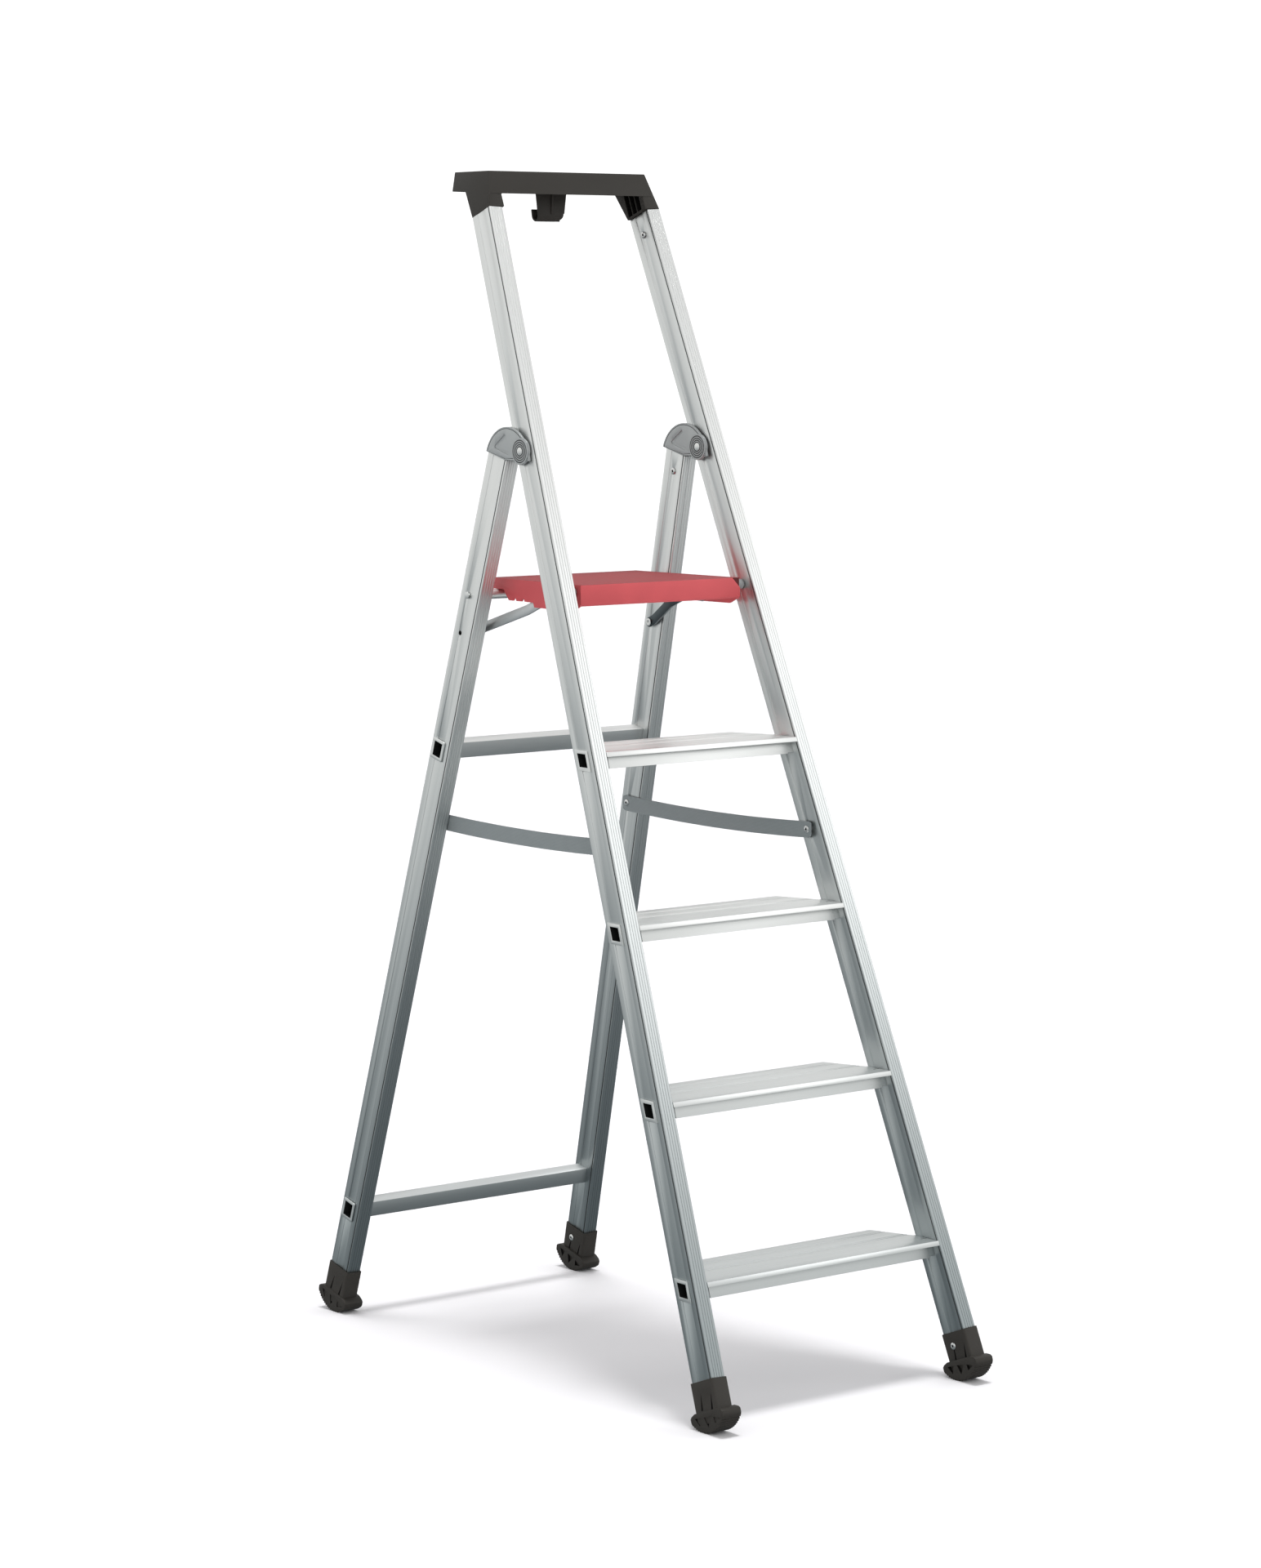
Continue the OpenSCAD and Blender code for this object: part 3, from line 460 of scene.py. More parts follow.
def extruded(look, across, through, along, finish, shade_fade_span):
    """Satin aluminium with fine lines along the extrusion, and painted shade that darkens it towards the floor."""
    lines = finish.noise(finish.point(across * 900, through * 900, along * 5), 1.0, 3)
    broad = finish.noise(finish.point(across * 90, through * 90, along * 3), 1.0, 2)
    clouds = finish.noise(finish.point(across * 9, through * 9, along * 9), 1.0, 3)
    # Painted shade: the base colour runs from the top tone down to a darker shaded tone near the floor.
    height = finish.place()[2].clamped(*shade_fade_span)
    low = finish.mix(clouds, tone(look.shaded_low_tone, 0.93), tone(look.shaded_low_tone, 1.05))
    high = finish.mix(broad, tone(look.metal_tone, 0.93), tone(look.metal_tone, 1.03))
    finish.to_shader("Base Color", finish.mix(height, low, high))
    finish.to_shader("Roughness", look.metal_rough - 0.05 + lines * 0.14)
    finish.bump(lines, 0.12, 0.0002)
    return finish.material


def rail_finish(look, name, rails):
    finish = Finish(name, Metallic=1.0)
    across, through, along = rail_coordinates(finish, rails)
    return extruded(look, across, through, along, finish, (0.05, 1.25))


def cross_finish(look, name):
    """The same metal, drawn across the ladder."""
    finish = Finish(name, Metallic=1.0)
    x, y, z = finish.place()
    return extruded(look, y, z, x, finish, (-0.6, 0.7))


def plastic(name, colour, rough, grain_size, grain_depth, sheen=0.0):
    """Moulded plastic: fine grain, and soft mottling in colour and roughness."""
    finish = Finish(name, IOR=1.47, Specular_IOR_Level=0.3, Sheen_Weight=sheen)
    x, y, z = finish.place()
    at = finish.point(x, y, z)
    grain = finish.noise(at, 1 / grain_size, 2)
    mottle = finish.noise(at, 18.0, 3)
    finish.to_shader("Base Color", finish.mix(mottle, tone(colour, 0.88), tone(colour, 1.12)))
    finish.to_shader("Roughness", rough - 0.06 + mottle * 0.12)
    finish.bump(grain, 0.35, grain_depth)
    return finish.material


def cast_finish(look):
    """Grey die casting with a satin coat."""
    finish = Finish("hinge_casting", Metallic=0.55, Coat_Weight=0.15, Coat_Roughness=0.35)
    x, y, z = finish.place()
    at = finish.point(x, y, z)
    skin = finish.noise(at, 900.0, 3)
    cloud = finish.noise(at, 30.0, 2)
    colour = tuple(look.hinge_tone)
    finish.to_shader("Base Color", finish.mix(cloud, tone(colour, 0.92), tone(colour, 1.06)))
    finish.to_shader("Roughness", 0.36 + skin * 0.12)
    finish.bump(skin, 0.2, 0.0002)
    return finish.material


def plated(name, colour, rough, across_lines=True):
    """Zinc-plated steel with faint rolling lines."""
    finish = Finish(name, Metallic=1.0)
    x, y, z = finish.place()
    lines = finish.noise(finish.point(x * 20, y * 60, z * 900), 1.0, 2)
    cloud = finish.noise(finish.point(x, y, z), 40.0, 2)
    finish.to_shader("Base Color", finish.mix(cloud, tone(colour, 0.88), tone(colour, 1.05)))
    finish.to_shader("Roughness", rough - 0.04 + lines * 0.12)
    if across_lines:
        finish.bump(lines, 0.1, 0.0002)
    return finish.material


def webbing_finish(look):
    """Flat woven webbing: warp ribs along the strap and a fine weft across them."""
    finish = Finish("strap_weave", Roughness=0.85, Sheen_Weight=0.25, Sheen_Roughness=0.5)
    uv = finish.node("ShaderNodeUVMap", {"uv_map": "weave"})
    parts = finish.node("ShaderNodeSeparateXYZ", sockets={0: uv}).socket.node
    along, across = Value(finish, parts.outputs[0]), Value(finish, parts.outputs[1])
    ribs = (across * (2 * pi / 0.0016)).math("SINE", across * (2 * pi / 0.0016))
    picks = (along * (2 * pi / 0.0011)).math("SINE", along * (2 * pi / 0.0011))
    weave = ribs * 0.5 + picks * 0.25 + 0.5
    wear = finish.noise(finish.point(along * 60, across * 200, 0.0), 1.0, 3)
    colour = tuple(look.strap_tone)
    base = finish.mix(weave.clamped(0.0, 1.2), tone(colour, 0.8), tone(colour, 1.1))
    finish.to_shader("Base Color", finish.mix(wear * 0.3, base, tone(colour, 1.25)))
    finish.bump(weave, 0.5, 0.0003)
    return finish.material


FINISHES = {}


def make_finishes(look):
    black, red = tuple(look.black_tone), tuple(look.red_tone)
    FINISHES.update(
        stile=rail_finish(look, "stile_aluminium", FRONT),
        leg=rail_finish(look, "leg_aluminium", REAR),
        tread=cross_finish(look, "tread_metal"),
        black=plastic("black_moulding", black, 0.55, 0.0011, 0.0003),
        # Painted shade: a much darker black for the faces inside holes, slits and chambers.
        hollow=plastic("black_painted_shade", tone(black, 0.22)[:3], 0.8, 0.0011, 0.0003),
        red=plastic("red_moulding", red, 0.5, 0.0009, 0.0002),
        # Painted shade: the platform's top in a darker red, for the shade on it.
        red_top=plastic("red_top_painted_shade", tone(red, 0.55)[:3], 0.62, 0.0014, 0.0004),
        # Painted shade: a dark red for the recess behind the lip's cut corner.
        red_hollow=plastic("red_hollow", tone(red, 0.16)[:3], 0.7, 0.0009, 0.0002),
        casting=cast_finish(look),
        groove=plastic("hinge_groove", tone(tuple(look.hinge_tone), 0.22)[:3], 0.6, 0.001, 0.0002),
        spacer=plastic("spacer_moulding", tone(tuple(look.hinge_tone), 0.8)[:3], 0.5, 0.001, 0.0002),
        strut=plated("strut_plating", (0.72, 0.74, 0.75), 0.34),
        # Painted shade: a dark tone for the struts' faces towards the middle of the ladder.
        strut_inside=plated("strut_inner_painted_shade", (0.10, 0.12, 0.13), 0.45),
        # Painted shade: a dark grey for the groove along each rail's web.
        line=plated("rail_groove_painted_shade", (0.22, 0.23, 0.23), 0.5, False),
        # Painted shade: near-black for the inside faces of the tubes.
        bore=plastic("tube_painted_shade", (0.004, 0.005, 0.005), 0.8, 0.001, 0.0002),
        rivet=plated("rivet_plating", (0.86, 0.86, 0.85), 0.26, False),
        strap=webbing_finish(look),
    )


# ---- Settings -----------------------------------------------------------


def length(name, description, default):
    return FloatProperty(name=name, description=description, default=default, unit="LENGTH")


def colour(name, description, default):
    return FloatVectorProperty(
        name=name, description=description, default=default, subtype="COLOR", size=3, min=0, max=1
    )


class LadderSizes(bpy.types.PropertyGroup):
    """The sizes that shape the finished pieces."""

    sole_radius: length("Sole radius", "Radius of a foot's rounded sole", 0.047)
    foot_half: length("Foot half length", "Half the length of a foot's pad", 0.037)
    sole_width: length("Sole width", "Width of a foot's pad", 0.033)
    pad_height: length("Pad height", "Height of a foot's pad over its sole", 0.027)
    foot_height: length("Foot height", "Height of a whole foot", 0.073)
    socket_wall: length("Socket wall", "Wall of a foot round its rail", 0.0022)
    tooth_depth: length("Sole tooth depth", "Depth of the sole's serration", 0.0014)
    rail_width: length("Rail width", "Width of a rail across the ladder", 0.0235)
    tray_bar: length("Tray bar height", "Height of the tray's front bar", 0.0335)
    tray_height: length("Tray height", "Height of the tray at its rear", 0.029)
    strap_thickness: length("Strap thickness", "Thickness of the webbing", 0.0013)
    strap_width: length("Strap width", "Width of the webbing", 0.0245)
    edge: length("Edge radius", "Rounding of moulded edges", 0.0016)


class LadderLook(bpy.types.PropertyGroup):
    """The colours and roughness of the finishes."""

    metal_tone: colour("Aluminium", "Aluminium near the top", (0.84, 0.85, 0.84))
    # Painted shade: the aluminium colour near the floor, darker to stand in for shade low down.
    shaded_low_tone: colour("Aluminium low down", "Aluminium near the floor", (0.44, 0.485, 0.495))
    metal_rough: FloatProperty(
        name="Aluminium roughness", description="Roughness of the aluminium", default=0.36, min=0, max=1
    )
    black_tone: colour("Black plastic", "Tray, hook and feet", (0.030, 0.027, 0.023))
    red_tone: colour("Red plastic", "Platform", (0.58, 0.088, 0.098))
    hinge_tone: colour("Hinge grey", "Hinges", (0.42, 0.44, 0.44))
    strap_tone: colour("Strap grey", "Webbing", (0.20, 0.23, 0.235))


def sizes():
    return bpy.context.scene.ladder_sizes


def look():
    return bpy.context.scene.ladder_look


# ---- Rivets and pins ----------------------------------------------------


def half_node(node, side):
    """The vertices of a node that lie on one side of the ladder."""
    return [v.co for v in frame["nodes"][node].data.vertices if v.co.x * side > 0]


def span(values):
    return min(values), max(values)


def off_axis(point, axis):
    """Distance of a point from an X axis through another."""
    return sqrt((point.y - axis.y) ** 2 + (point.z - axis.z) ** 2)


def rivet_head(name, rails, side, node):
    """A blind rivet: a domed flange round a hole with the broken stem inside, the hole's floor painted darker black as
    shade.
    """
    to_rail = rails.place(side, 0).inverted()
    points = [to_rail @ p for p in half_node(node, side)]
    x0, x1 = span([p.x for p in points])
    middle = [sum(span([p[i] for p in points])) / 2 for i in (1, 2)]
    radius = span([p.y for p in points])[1] - middle[0]
    tip, end = (x0, x1) if side > 0 else (x1, x0)
    out = -side
    hole, stem, height = radius * 0.36, radius * 0.45, 0.0014
    profile = [
        (0, end - tip), (stem, end - tip), (stem, -out * height), (radius, -out * height),
        (radius, -out * height * 0.75), (radius * 0.93, -out * height * 0.42),
        (radius * 0.76, -out * height * 0.14), (radius * 0.56, 0), (hole * 1.12, 0),
        (hole, -out * height * 0.2), (hole, -out * height * 0.8), (0, -out * height * 0.8),
    ]
    piece = turned(name, profile, (tip, middle[0], middle[1]), 28)
    piece.data.materials.append(FINISHES["rivet"])
    axis = Vector((0, middle[0], middle[1]))
    # Painted shade: the floor of the rivet's hole gets the darker black.
    paint(piece, FINISHES["hollow"], lambda f: off_axis(f.center, axis) < hole
          and abs(f.center.x - tip) < height)
    return moved(piece, rails.place(side, 0))


def joined(name, pieces):
    only(*pieces)
    bpy.ops.object.join()
    pieces[0].name = pieces[0].data.name = name
    return pieces[0]


RIVET_ROWS = [
    ("tray_rivets", FRONT, "front_frame"), ("foot_rivets_front", FRONT, "front_frame"),
    ("strap_rivets_front", FRONT, "front_frame"), ("strap_rivets_rear", REAR, "rear_frame"),
    ("foot_rivets_rear", REAR, "rear_frame"), ("hinge_rivets", REAR, "rear_frame"),
]


class MakeRivets(bpy.types.Operator):
    """Makes the blind rivets that hold the fittings on the rails"""

    bl_idname = "ladder.rivets"
    bl_label = "Rivets"

    def execute(self, context):
        for node, rails, body in RIVET_ROWS:
            heads = [rivet_head(node, rails, side, node) for side in SIDES.values()]
            piece = joined(node + "_heads", heads)
            finished(piece, FINISHES["rivet"], body, "rivet_metal", node)
        return {"FINISHED"}


PIN_ROWS = [
    ("hinge_pins", "front_frame", "rivet_metal", "rivet", 0.0005),
    ("platform_pins", "front_frame", "rivet_metal", "rivet", 0.0005),
    ("platform_spacers", "front_frame", "grey_spacer", "spacer", 0.0009),
    ("strut_pins", "rear_frame", "rivet_metal", "rivet", 0.0004),
    ("guide_pins", "struts", "rivet_metal", "rivet", 0.0005),
    ("platform_rest_bar", "rear_frame", "tread_aluminium", "tread", 0.0004),
]


class MakePins(bpy.types.Operator):
    """Rounds the edges of the pins, spacers and rest bar"""

    bl_idname = "ladder.pins"
    bl_label = "Pins and spacers"

    def execute(self, context):
        for node, body, slot, finish, width in PIN_ROWS:
            piece = cad_copy(node, node + "_turned")
            if not node.startswith("leg"):
                without_short_edges(piece)
            rounded(piece, width, 2, 40)
            finished(piece, FINISHES[finish], body, slot, node)
        return {"FINISHED"}


# ---- Metal parts --------------------------------------------------------

METAL_ROWS = [
    *[(f"tread_{i}", "front_frame", "tread_aluminium", "tread", 0.0003) for i in (1, 2, 3, 4)],
    ("crossbar_upper", "rear_frame", "tread_aluminium", "tread", 0.0007),
    ("crossbar_lower", "rear_frame", "tread_aluminium", "tread", 0.0007),
    ("stile_left", "front_frame", "rail_aluminium", "stile", 0.0002),
    ("stile_right", "front_frame", "rail_aluminium", "stile", 0.0002),
    ("leg_left", "rear_frame", "rail_aluminium", "leg", 0.0002),
    ("leg_right", "rear_frame", "rail_aluminium", "leg", 0.0002),
    ("hinge_sleeves", "front_frame", "rivet_metal", "strut", 0.0003),
    ("strut_left", "struts", "strut_steel", "strut", 0.0004),
    ("strut_right", "struts", "strut_steel", "strut", 0.0004),
    ("guide_left", "platform", "strut_steel", "strut", 0.0004),
    ("guide_right", "platform", "strut_steel", "strut", 0.0004),
]


def shade_tube_inside(piece):
    """Paints the inside of a tube that runs from web to web near-black, as painted shade."""
    reach = max(v.co.x for v in piece.data.vertices)
    end = [v.co for v in piece.data.vertices if v.co.x > reach - 0.004]
    axis = Vector((0, sum(span([p.y for p in end])) / 2, sum(span([p.z for p in end])) / 2))
    size = span([p.z for p in end])[1] - axis.z
    paint(piece, FINISHES["bore"], lambda f: abs(f.normal.x) < 0.3 and off_axis(f.center, axis) < size
          and (f.center - axis).dot(f.normal) < 0)


def shade_rail_groove(piece, rails, side, finish):
    """Paints the groove that runs along each web beside the front flange dark, as painted shade in the groove."""
    to_rail = rails.place(side, 0).inverted()
    width = sizes().rail_width

    def in_line(face):
        at = to_rail @ face.center
        sunk = min(abs(at.x), abs(width - abs(at.x)))
        return 0.0024 < at.y < 0.0050 and 0.0001 < sunk < 0.00095

    paint(piece, finish, in_line)


class MakeMetal(bpy.types.Operator):
    """Finishes the rails, treads, crossbars, struts and guides"""

    bl_idname = "ladder.metal"
    bl_label = "Metal parts"

    def execute(self, context):
        for node, body, slot, finish, width in METAL_ROWS:
            piece = cad_copy(node, node + "_metal")
            piece.data.materials.append(FINISHES[finish])
            if node.startswith(("tread", "crossbar")):
                shade_tube_inside(piece)
            if node.startswith(("stile", "leg")):
                rails = FRONT if "stile" in node else REAR
                shade_rail_groove(piece, rails, SIDES[node.split("_")[1]], FINISHES["line"])
            if node.startswith("strut"):
                inward = 1 if "left" in node else -1
                # Painted shade: the faces towards the centre get the dark finish, for the shade under the platform.
                paint(piece, FINISHES["strut_inside"], lambda f: f.normal.x * inward > 0.5)
            if not node.startswith("leg"):
                without_short_edges(piece)
            rounded(piece, width, 2, 40)
            finished(piece, FINISHES[finish], body, slot, node)
        return {"FINISHED"}


# ---- Feet ---------------------------------------------------------------


def foot_outline(size):
    """Side view of a foot's pad, from the centre of its rounded sole."""
    toe_radius = 0.009
    toe_side = size.foot_half - toe_radius
    toe_drop = sqrt((size.sole_radius - toe_radius) ** 2 - toe_side**2)
    toe_angle = 90 - degrees(atan2(toe_side, toe_drop))
    first, last = 180 + toe_angle, 360 - toe_angle
    teeth = 17
    pitch = (last - first) / teeth
    sole = []
    for i in range(teeth):
        start = first + i * pitch
        deep = size.sole_radius - size.tooth_depth
        sole += arc((0, 0), size.sole_radius, start + 0.12 * pitch, start + 0.58 * pitch, 1)
        sole += arc((0, 0), deep, start + 0.66 * pitch, start + 0.98 * pitch, 1)
    sole.append(arc((0, 0), size.sole_radius, last, last, 1)[0])
    shoulder = size.pad_height - size.sole_radius
    wall = FRONT.depth / 2 + size.socket_wall
    return (
        arc((-toe_side, -toe_drop), toe_radius, 180, first - 4, 4)
        + sole
        + arc((toe_side, -toe_drop), toe_radius, last + 4, 360, 4)
        + [(size.foot_half, shoulder - 0.002), (size.foot_half - 0.003, shoulder + 0.001)]
        + [(wall, shoulder + 0.004), (-wall, shoulder + 0.004)]
        + [(-size.foot_half + 0.003, shoulder + 0.001), (-size.foot_half, shoulder - 0.002)]
    )


# Recesses of a foot's side, as [y, z] points from the centre of its sole
FOOT_HOLES = [
    [(-0.029, -0.030), (-0.015, -0.026), (-0.016, -0.035)],
    [(-0.008, -0.0255), (0.006, -0.0235), (0.001, -0.0385)],
    [(0.014, -0.0235), (0.027, -0.0225), (0.019, -0.0345)],
]
FOOT_SLITS = [
    [(-0.0180, 0.008), (-0.0120, -0.0165), (-0.0165, -0.0165)],
    [(0.0050, 0.010), (0.0105, -0.0145), (0.0065, -0.0145)],
]


# Gives a cutter the darker black, so the faces it cuts are painted dark as shade.
def dark(piece):
    piece.data.materials.append(FINISHES["hollow"])
    return piece


def make_foot(name, rails, side, body, node):
    size = sizes()
    sole_s = (size.sole_radius - rails.depth / 2 * sin(rails.lean)) / cos(rails.lean)
    middle = side * (rails.half(sole_s) - size.rail_width / 2)
    to_plane = rails.plane @ Matrix.Translation((middle, rails.depth / 2, sole_s))
    half = size.sole_width / 2
    pad = plate(name, foot_outline(size), -half, half)
    pad.data.materials.append(FINISHES["black"])
    # The recesses in the pad's sides: their cut faces get the darker black as painted shade.
    for x in (-half, half):
        for points in FOOT_HOLES:
            depth = 0.007 if x > 0 else -0.007
            carve(pad, dark(plate("hole", points, x - depth, x + depth)))
    moved(pad, to_plane)

    low = sole_s - size.sole_radius + size.pad_height / 2
    top = sole_s - size.sole_radius + size.foot_height
    across = size.rail_width / 2 + size.socket_wall
    through = rails.depth / 2 + size.socket_wall
    socket = block("socket", (-across, -through, 0), (across, through, top - low))
    with editing(socket):
        pick(socket, "EDGE", lambda e: abs(e.verts[0].co.z - e.verts[1].co.z) > 0.01)
        bpy.ops.mesh.bevel(offset=0.0032, segments=4, affect="EDGES")
    socket.data.materials.append(FINISHES["black"])
    to_rail = rails.place(side, low) @ Matrix.Translation((-side * size.rail_width / 2, rails.depth / 2, 0))
    slit_shift = low - sole_s
    # The slits in the socket: their cut faces get the darker black as painted shade.
    for x in (-across, across):
        depth = 0.0013 if x > 0 else -0.0013
        for points in FOOT_SLITS:
            lowered = [(y, z - slit_shift) for y, z in points]
            carve(socket, dark(plate("slit", lowered, x - depth, x + depth)))
    moved(socket, to_rail)
    combine(pad, socket)
    gap = 0.00015
    room = block("room", (-size.rail_width / 2 - gap, -rails.depth / 2 - gap, 0),
                 (size.rail_width / 2 + gap, rails.depth / 2 + gap, 0.1))
    lift = rails.low - low
    moved(room, to_rail @ Matrix.Translation((0, 0, max(lift, 0.004))))
    carve(pad, room)
    tidy(pad)
    rounded(pad, 0.0007, 2, 35)
    return finished(pad, FINISHES["black"], body, "black_plastic", node)


class MakeFeet(bpy.types.Operator):
    """Makes the four plastic feet with serrated, rounded soles"""

    bl_idname = "ladder.feet"
    bl_label = "Feet"

    def execute(self, context):
        for word, side in SIDES.items():
            make_foot(f"foot_front_{word}_moulding", FRONT, side, "front_frame", f"foot_front_{word}")
            make_foot(f"foot_rear_{word}_moulding", REAR, side, "rear_frame", f"foot_rear_{word}")
        return {"FINISHED"}


# ---- Tool tray and hook -------------------------------------------------


def make_tray():
    size = sizes()
    low, high = box("tool_tray")
    top, rear, half = high.z, high.y, high.x
    lean = tan(FRONT_LEAN)
    front = FRONT.plane.translation.y + top * lean
    edge_s = FRONT.top
    inner = FRONT.half(edge_s) - size.rail_width - 0.004
    edge = FRONT.plane @ Vector((0, 0, edge_s))
    heel = FRONT.plane @ Vector((0, FRONT.depth, edge_s))
    bar = (front - size.tray_bar * lean, top - size.tray_bar)
    tail = [(rear, top), (rear - 0.002, top - size.tray_height)]
    flare = (heel.y + 0.033, top - size.tray_height - 0.001)
    body = plate("tool_tray_moulding", [bar, (front, top), *tail], -half - 0.01, half + 0.01)
    body.data.materials.append(FINISHES["black"])
    cap_section = [(edge.y, edge.z), (front, top), *tail, flare, (heel.y, heel.z)]
    for side in SIDES.values():
        combine(body, plate("cap", cap_section, side * inner, side * (half + 0.02)))
    slope_angle = radians(13)
    for side in SIDES.values():
        edge = FRONT.plane @ Vector((side * FRONT.half(edge_s), 0, edge_s))
        outward = Vector((side * cos(slope_angle), 0, sin(slope_angle)))
        cut(body, edge, FRONT.plane.to_3x3() @ outward)
    well = block("well", (-0.116, front + 0.011, top - 0.024), (0.116, rear - 0.006, top + 0.01))
    rounded(well, 0.005, 4, 30)
    carve(body, well)
    # Open chambers in the caps' inner faces, with ribs between them; their cut faces get the darker black as painted
    # shade.
    for side in SIDES.values():
        face = side * inner
        for start in (0.0095, 0.0212, 0.0329):
            chamber = block("chamber", (face - side * 0.002, 0, 0), (face + side * 0.0105, 0.0095, 0.062))
            place = FRONT.plane @ Vector((0, start, edge_s + 0.003))
            lean = Matrix.Translation((0, place.y, place.z)) @ Matrix.Rotation(-FRONT_LEAN, 4, "X")
            moved(chamber, lean)
            cut(chamber, (0, 0, top - 0.012), (0, 0, 1))
            carve(body, dark(chamber))
    tidy(body)
    rounded(body, size.edge, 3, 28)
    return finished(body, FINISHES["black"], "front_frame", "black_plastic", "tool_tray")


def make_hook():
    low, high = box("bucket_hook")
    width, top = high.x - low.x, high.z
    wall, bend = 0.003, 0.006
    y = low.y + 0.004
    z = low.z + bend + wall
    outline = (
        [(y, top), (y, z)]
        + arc((y + wall + bend, z), bend + wall, 180, 360, 12)[1:]
        + arc((y + wall * 1.5 + 2 * bend, z + 0.008), wall / 2, 0, 180, 6)
        + arc((y + wall + bend, z), bend, 360, 180, 12)
        + [(y + wall, top)]
    )
    outline[1] = (y, z + 0.001)
    hook = plate("bucket_hook_moulding", outline, low.x, high.x)
    for side in SIDES.values():
        cut(hook, (side * width / 2, 0, top), Vector((side * (top - low.z), 0, -0.005)))
    # Rounded lower corners, larger on the right
    for side, radius in ((1, 0.012), (-1, 0.004)):
        corner = (side * (width / 2 - 0.005), low.z)
        centre = (corner[0] - side * radius, corner[1] + radius)
        points = [(corner[0] + side * 0.01, corner[1] - 0.01), (corner[0] + side * 0.01, centre[1])]
        points += arc(centre, radius, 0 if side > 0 else 180, -90 if side > 0 else 270, 8)
        points += [(centre[0], corner[1] - 0.01)]
        cutter = ring("corner", [(x, y - 0.01, zz) for x, zz in points])
        with editing(cutter):
            bpy.ops.mesh.extrude_region_move(TRANSFORM_OT_translate={"value": (0, 0.02, 0)})
        outwards(cutter)
        carve(hook, cutter)
    rib = plate("rib", [(y + 0.001, top), (y - 0.004, top), (y - 0.0015, low.z + 0.012), (y + 0.001, low.z + 0.009)],
                -0.0016, 0.0016)
    combine(hook, rib)
    hook.data.materials.append(FINISHES["black"])
    tidy(hook)
    without_short_edges(hook)
    rounded(hook, 0.0007, 2, 35)
    return finished(hook, FINISHES["black"], "front_frame", "black_plastic", "bucket_hook")


class MakeHead(bpy.types.Operator):
    """Makes the tool tray and the bucket hook under it"""

    bl_idname = "ladder.head"
    bl_label = "Tray and hook"

    def execute(self, context):
        make_tray()
        make_hook()
        return {"FINISHED"}


# ---- Hinges -------------------------------------------------------------


def hinge_boss(name, x, out):
    """The ringed disc on a hinge cheek, standing out from its face."""
    radius, rise = 0.0195, 0.0013
    profile = [(0, -out * 0.001), (radius, -out * 0.001), (radius, out * (rise - 0.0005)),
               (radius - 0.0006, out * rise)]
    for ring_r in (0.0172, 0.0140, 0.0108, 0.0078):
        profile += [(ring_r, out * rise), (ring_r - 0.0005, out * (rise - 0.0008)),
                    (ring_r - 0.0013, out * (rise - 0.0008)), (ring_r - 0.0018, out * rise)]
    profile += [(0.0048, out * rise), (0, out * rise)]
    return turned(name, profile, (x, HINGE.y, HINGE.z), 64)


def hinge_groove(x, out):
    """The bent groove in a cheek, as a cutter."""
    depth, half = 0.0012, 0.0024
    points = [(0.038, 0.022), (0.061, 0.0055), (0.031, -0.0035)]
    strips = []
    for start, end in zip(points, points[1:]):
        along = Vector(end) - Vector(start)
        side = Vector((-along.y, along.x)).normalized() * half
        tip = along.normalized() * half * 0.6
        a, b = Vector(start), Vector(end)
        corners = [a - side - tip, a + side - tip, b + side + tip, b - side + tip]
        outline = [(HINGE.y + p.x, HINGE.z + p.y) for p in corners]
        strips.append(plate("groove", outline, x - out * depth, x + out * 0.004))
    combine(*strips)
    strips[0].data.materials.append(FINISHES["groove"])
    return strips[0]


def make_hinge(word, side):
    node = f"hinge_{word}"
    piece = cad_copy(node, f"hinge_{word}_casting")
    piece.data.materials.append(FINISHES["casting"])
    low, high = box(node)
    faces = (low.x, -1), (high.x, 1)
    for x, out in faces:
        carve(piece, rim_groove(node, x, out), hinge_groove(x, out))
    without_short_edges(piece)
    rounded(piece, 0.0005, 2, 40)
    bosses = [hinge_boss("boss", x, out) for x, out in faces]
    for boss, (x, out) in zip(bosses, faces):
        boss.data.materials.append(FINISHES["casting"])
        paint(boss, FINISHES["groove"], lambda f: (f.center.x - x) * out < 0.0012 and off_axis(f.center, HINGE) < 0.019)
    piece = joined(piece.name, [piece, *bosses])
    return finished(piece, FINISHES["casting"], "rear_frame", "hinge_grey", node)


def cheek_outline(node, x):
    """The outline of a cheek's face, in order round the pin, as y and z."""
    points = [v.co.yz for v in frame["nodes"][node].data.vertices
              if abs(v.co.x - x) < 1e-5 and off_axis(v.co, HINGE) > 0.012]
    points.sort(key=lambda p: atan2(p.y - HINGE.z, p.x - HINGE.y))
    return [p for i, p in enumerate(points) if (p - points[i - 1]).length > 0.0004]


def rim_groove(node, x, out, inset=0.0026, width=0.0010, depth=0.0009):
    """The line inside a cheek's rim, as a cutter."""
    outline = cheek_outline(node, x)
    strip, core = [
        plate("rim_groove", shrunk(outline, by), x - out * depth, x + out * 3 * depth)
        for by in (inset, inset + width)
    ]
    strip.data.materials.append(FINISHES["groove"])
    carve(strip, core)
    return strip


def shrunk(points, by):
    """A cheek's outline, drawn in towards a point that sees all of it."""
    centre = HINGE.yz + Vector((0.012, 0.002))
    return [p + (centre - p).normalized() * by for p in points]


class MakeHinges(bpy.types.Operator):
    """Makes the two fold hinges with their ringed discs and grooves"""

    bl_idname = "ladder.hinges"
    bl_label = "Hinges"

    def execute(self, context):
        for word, side in SIDES.items():
            make_hinge(word, side)
        return {"FINISHED"}


# ---- Platform -----------------------------------------------------------


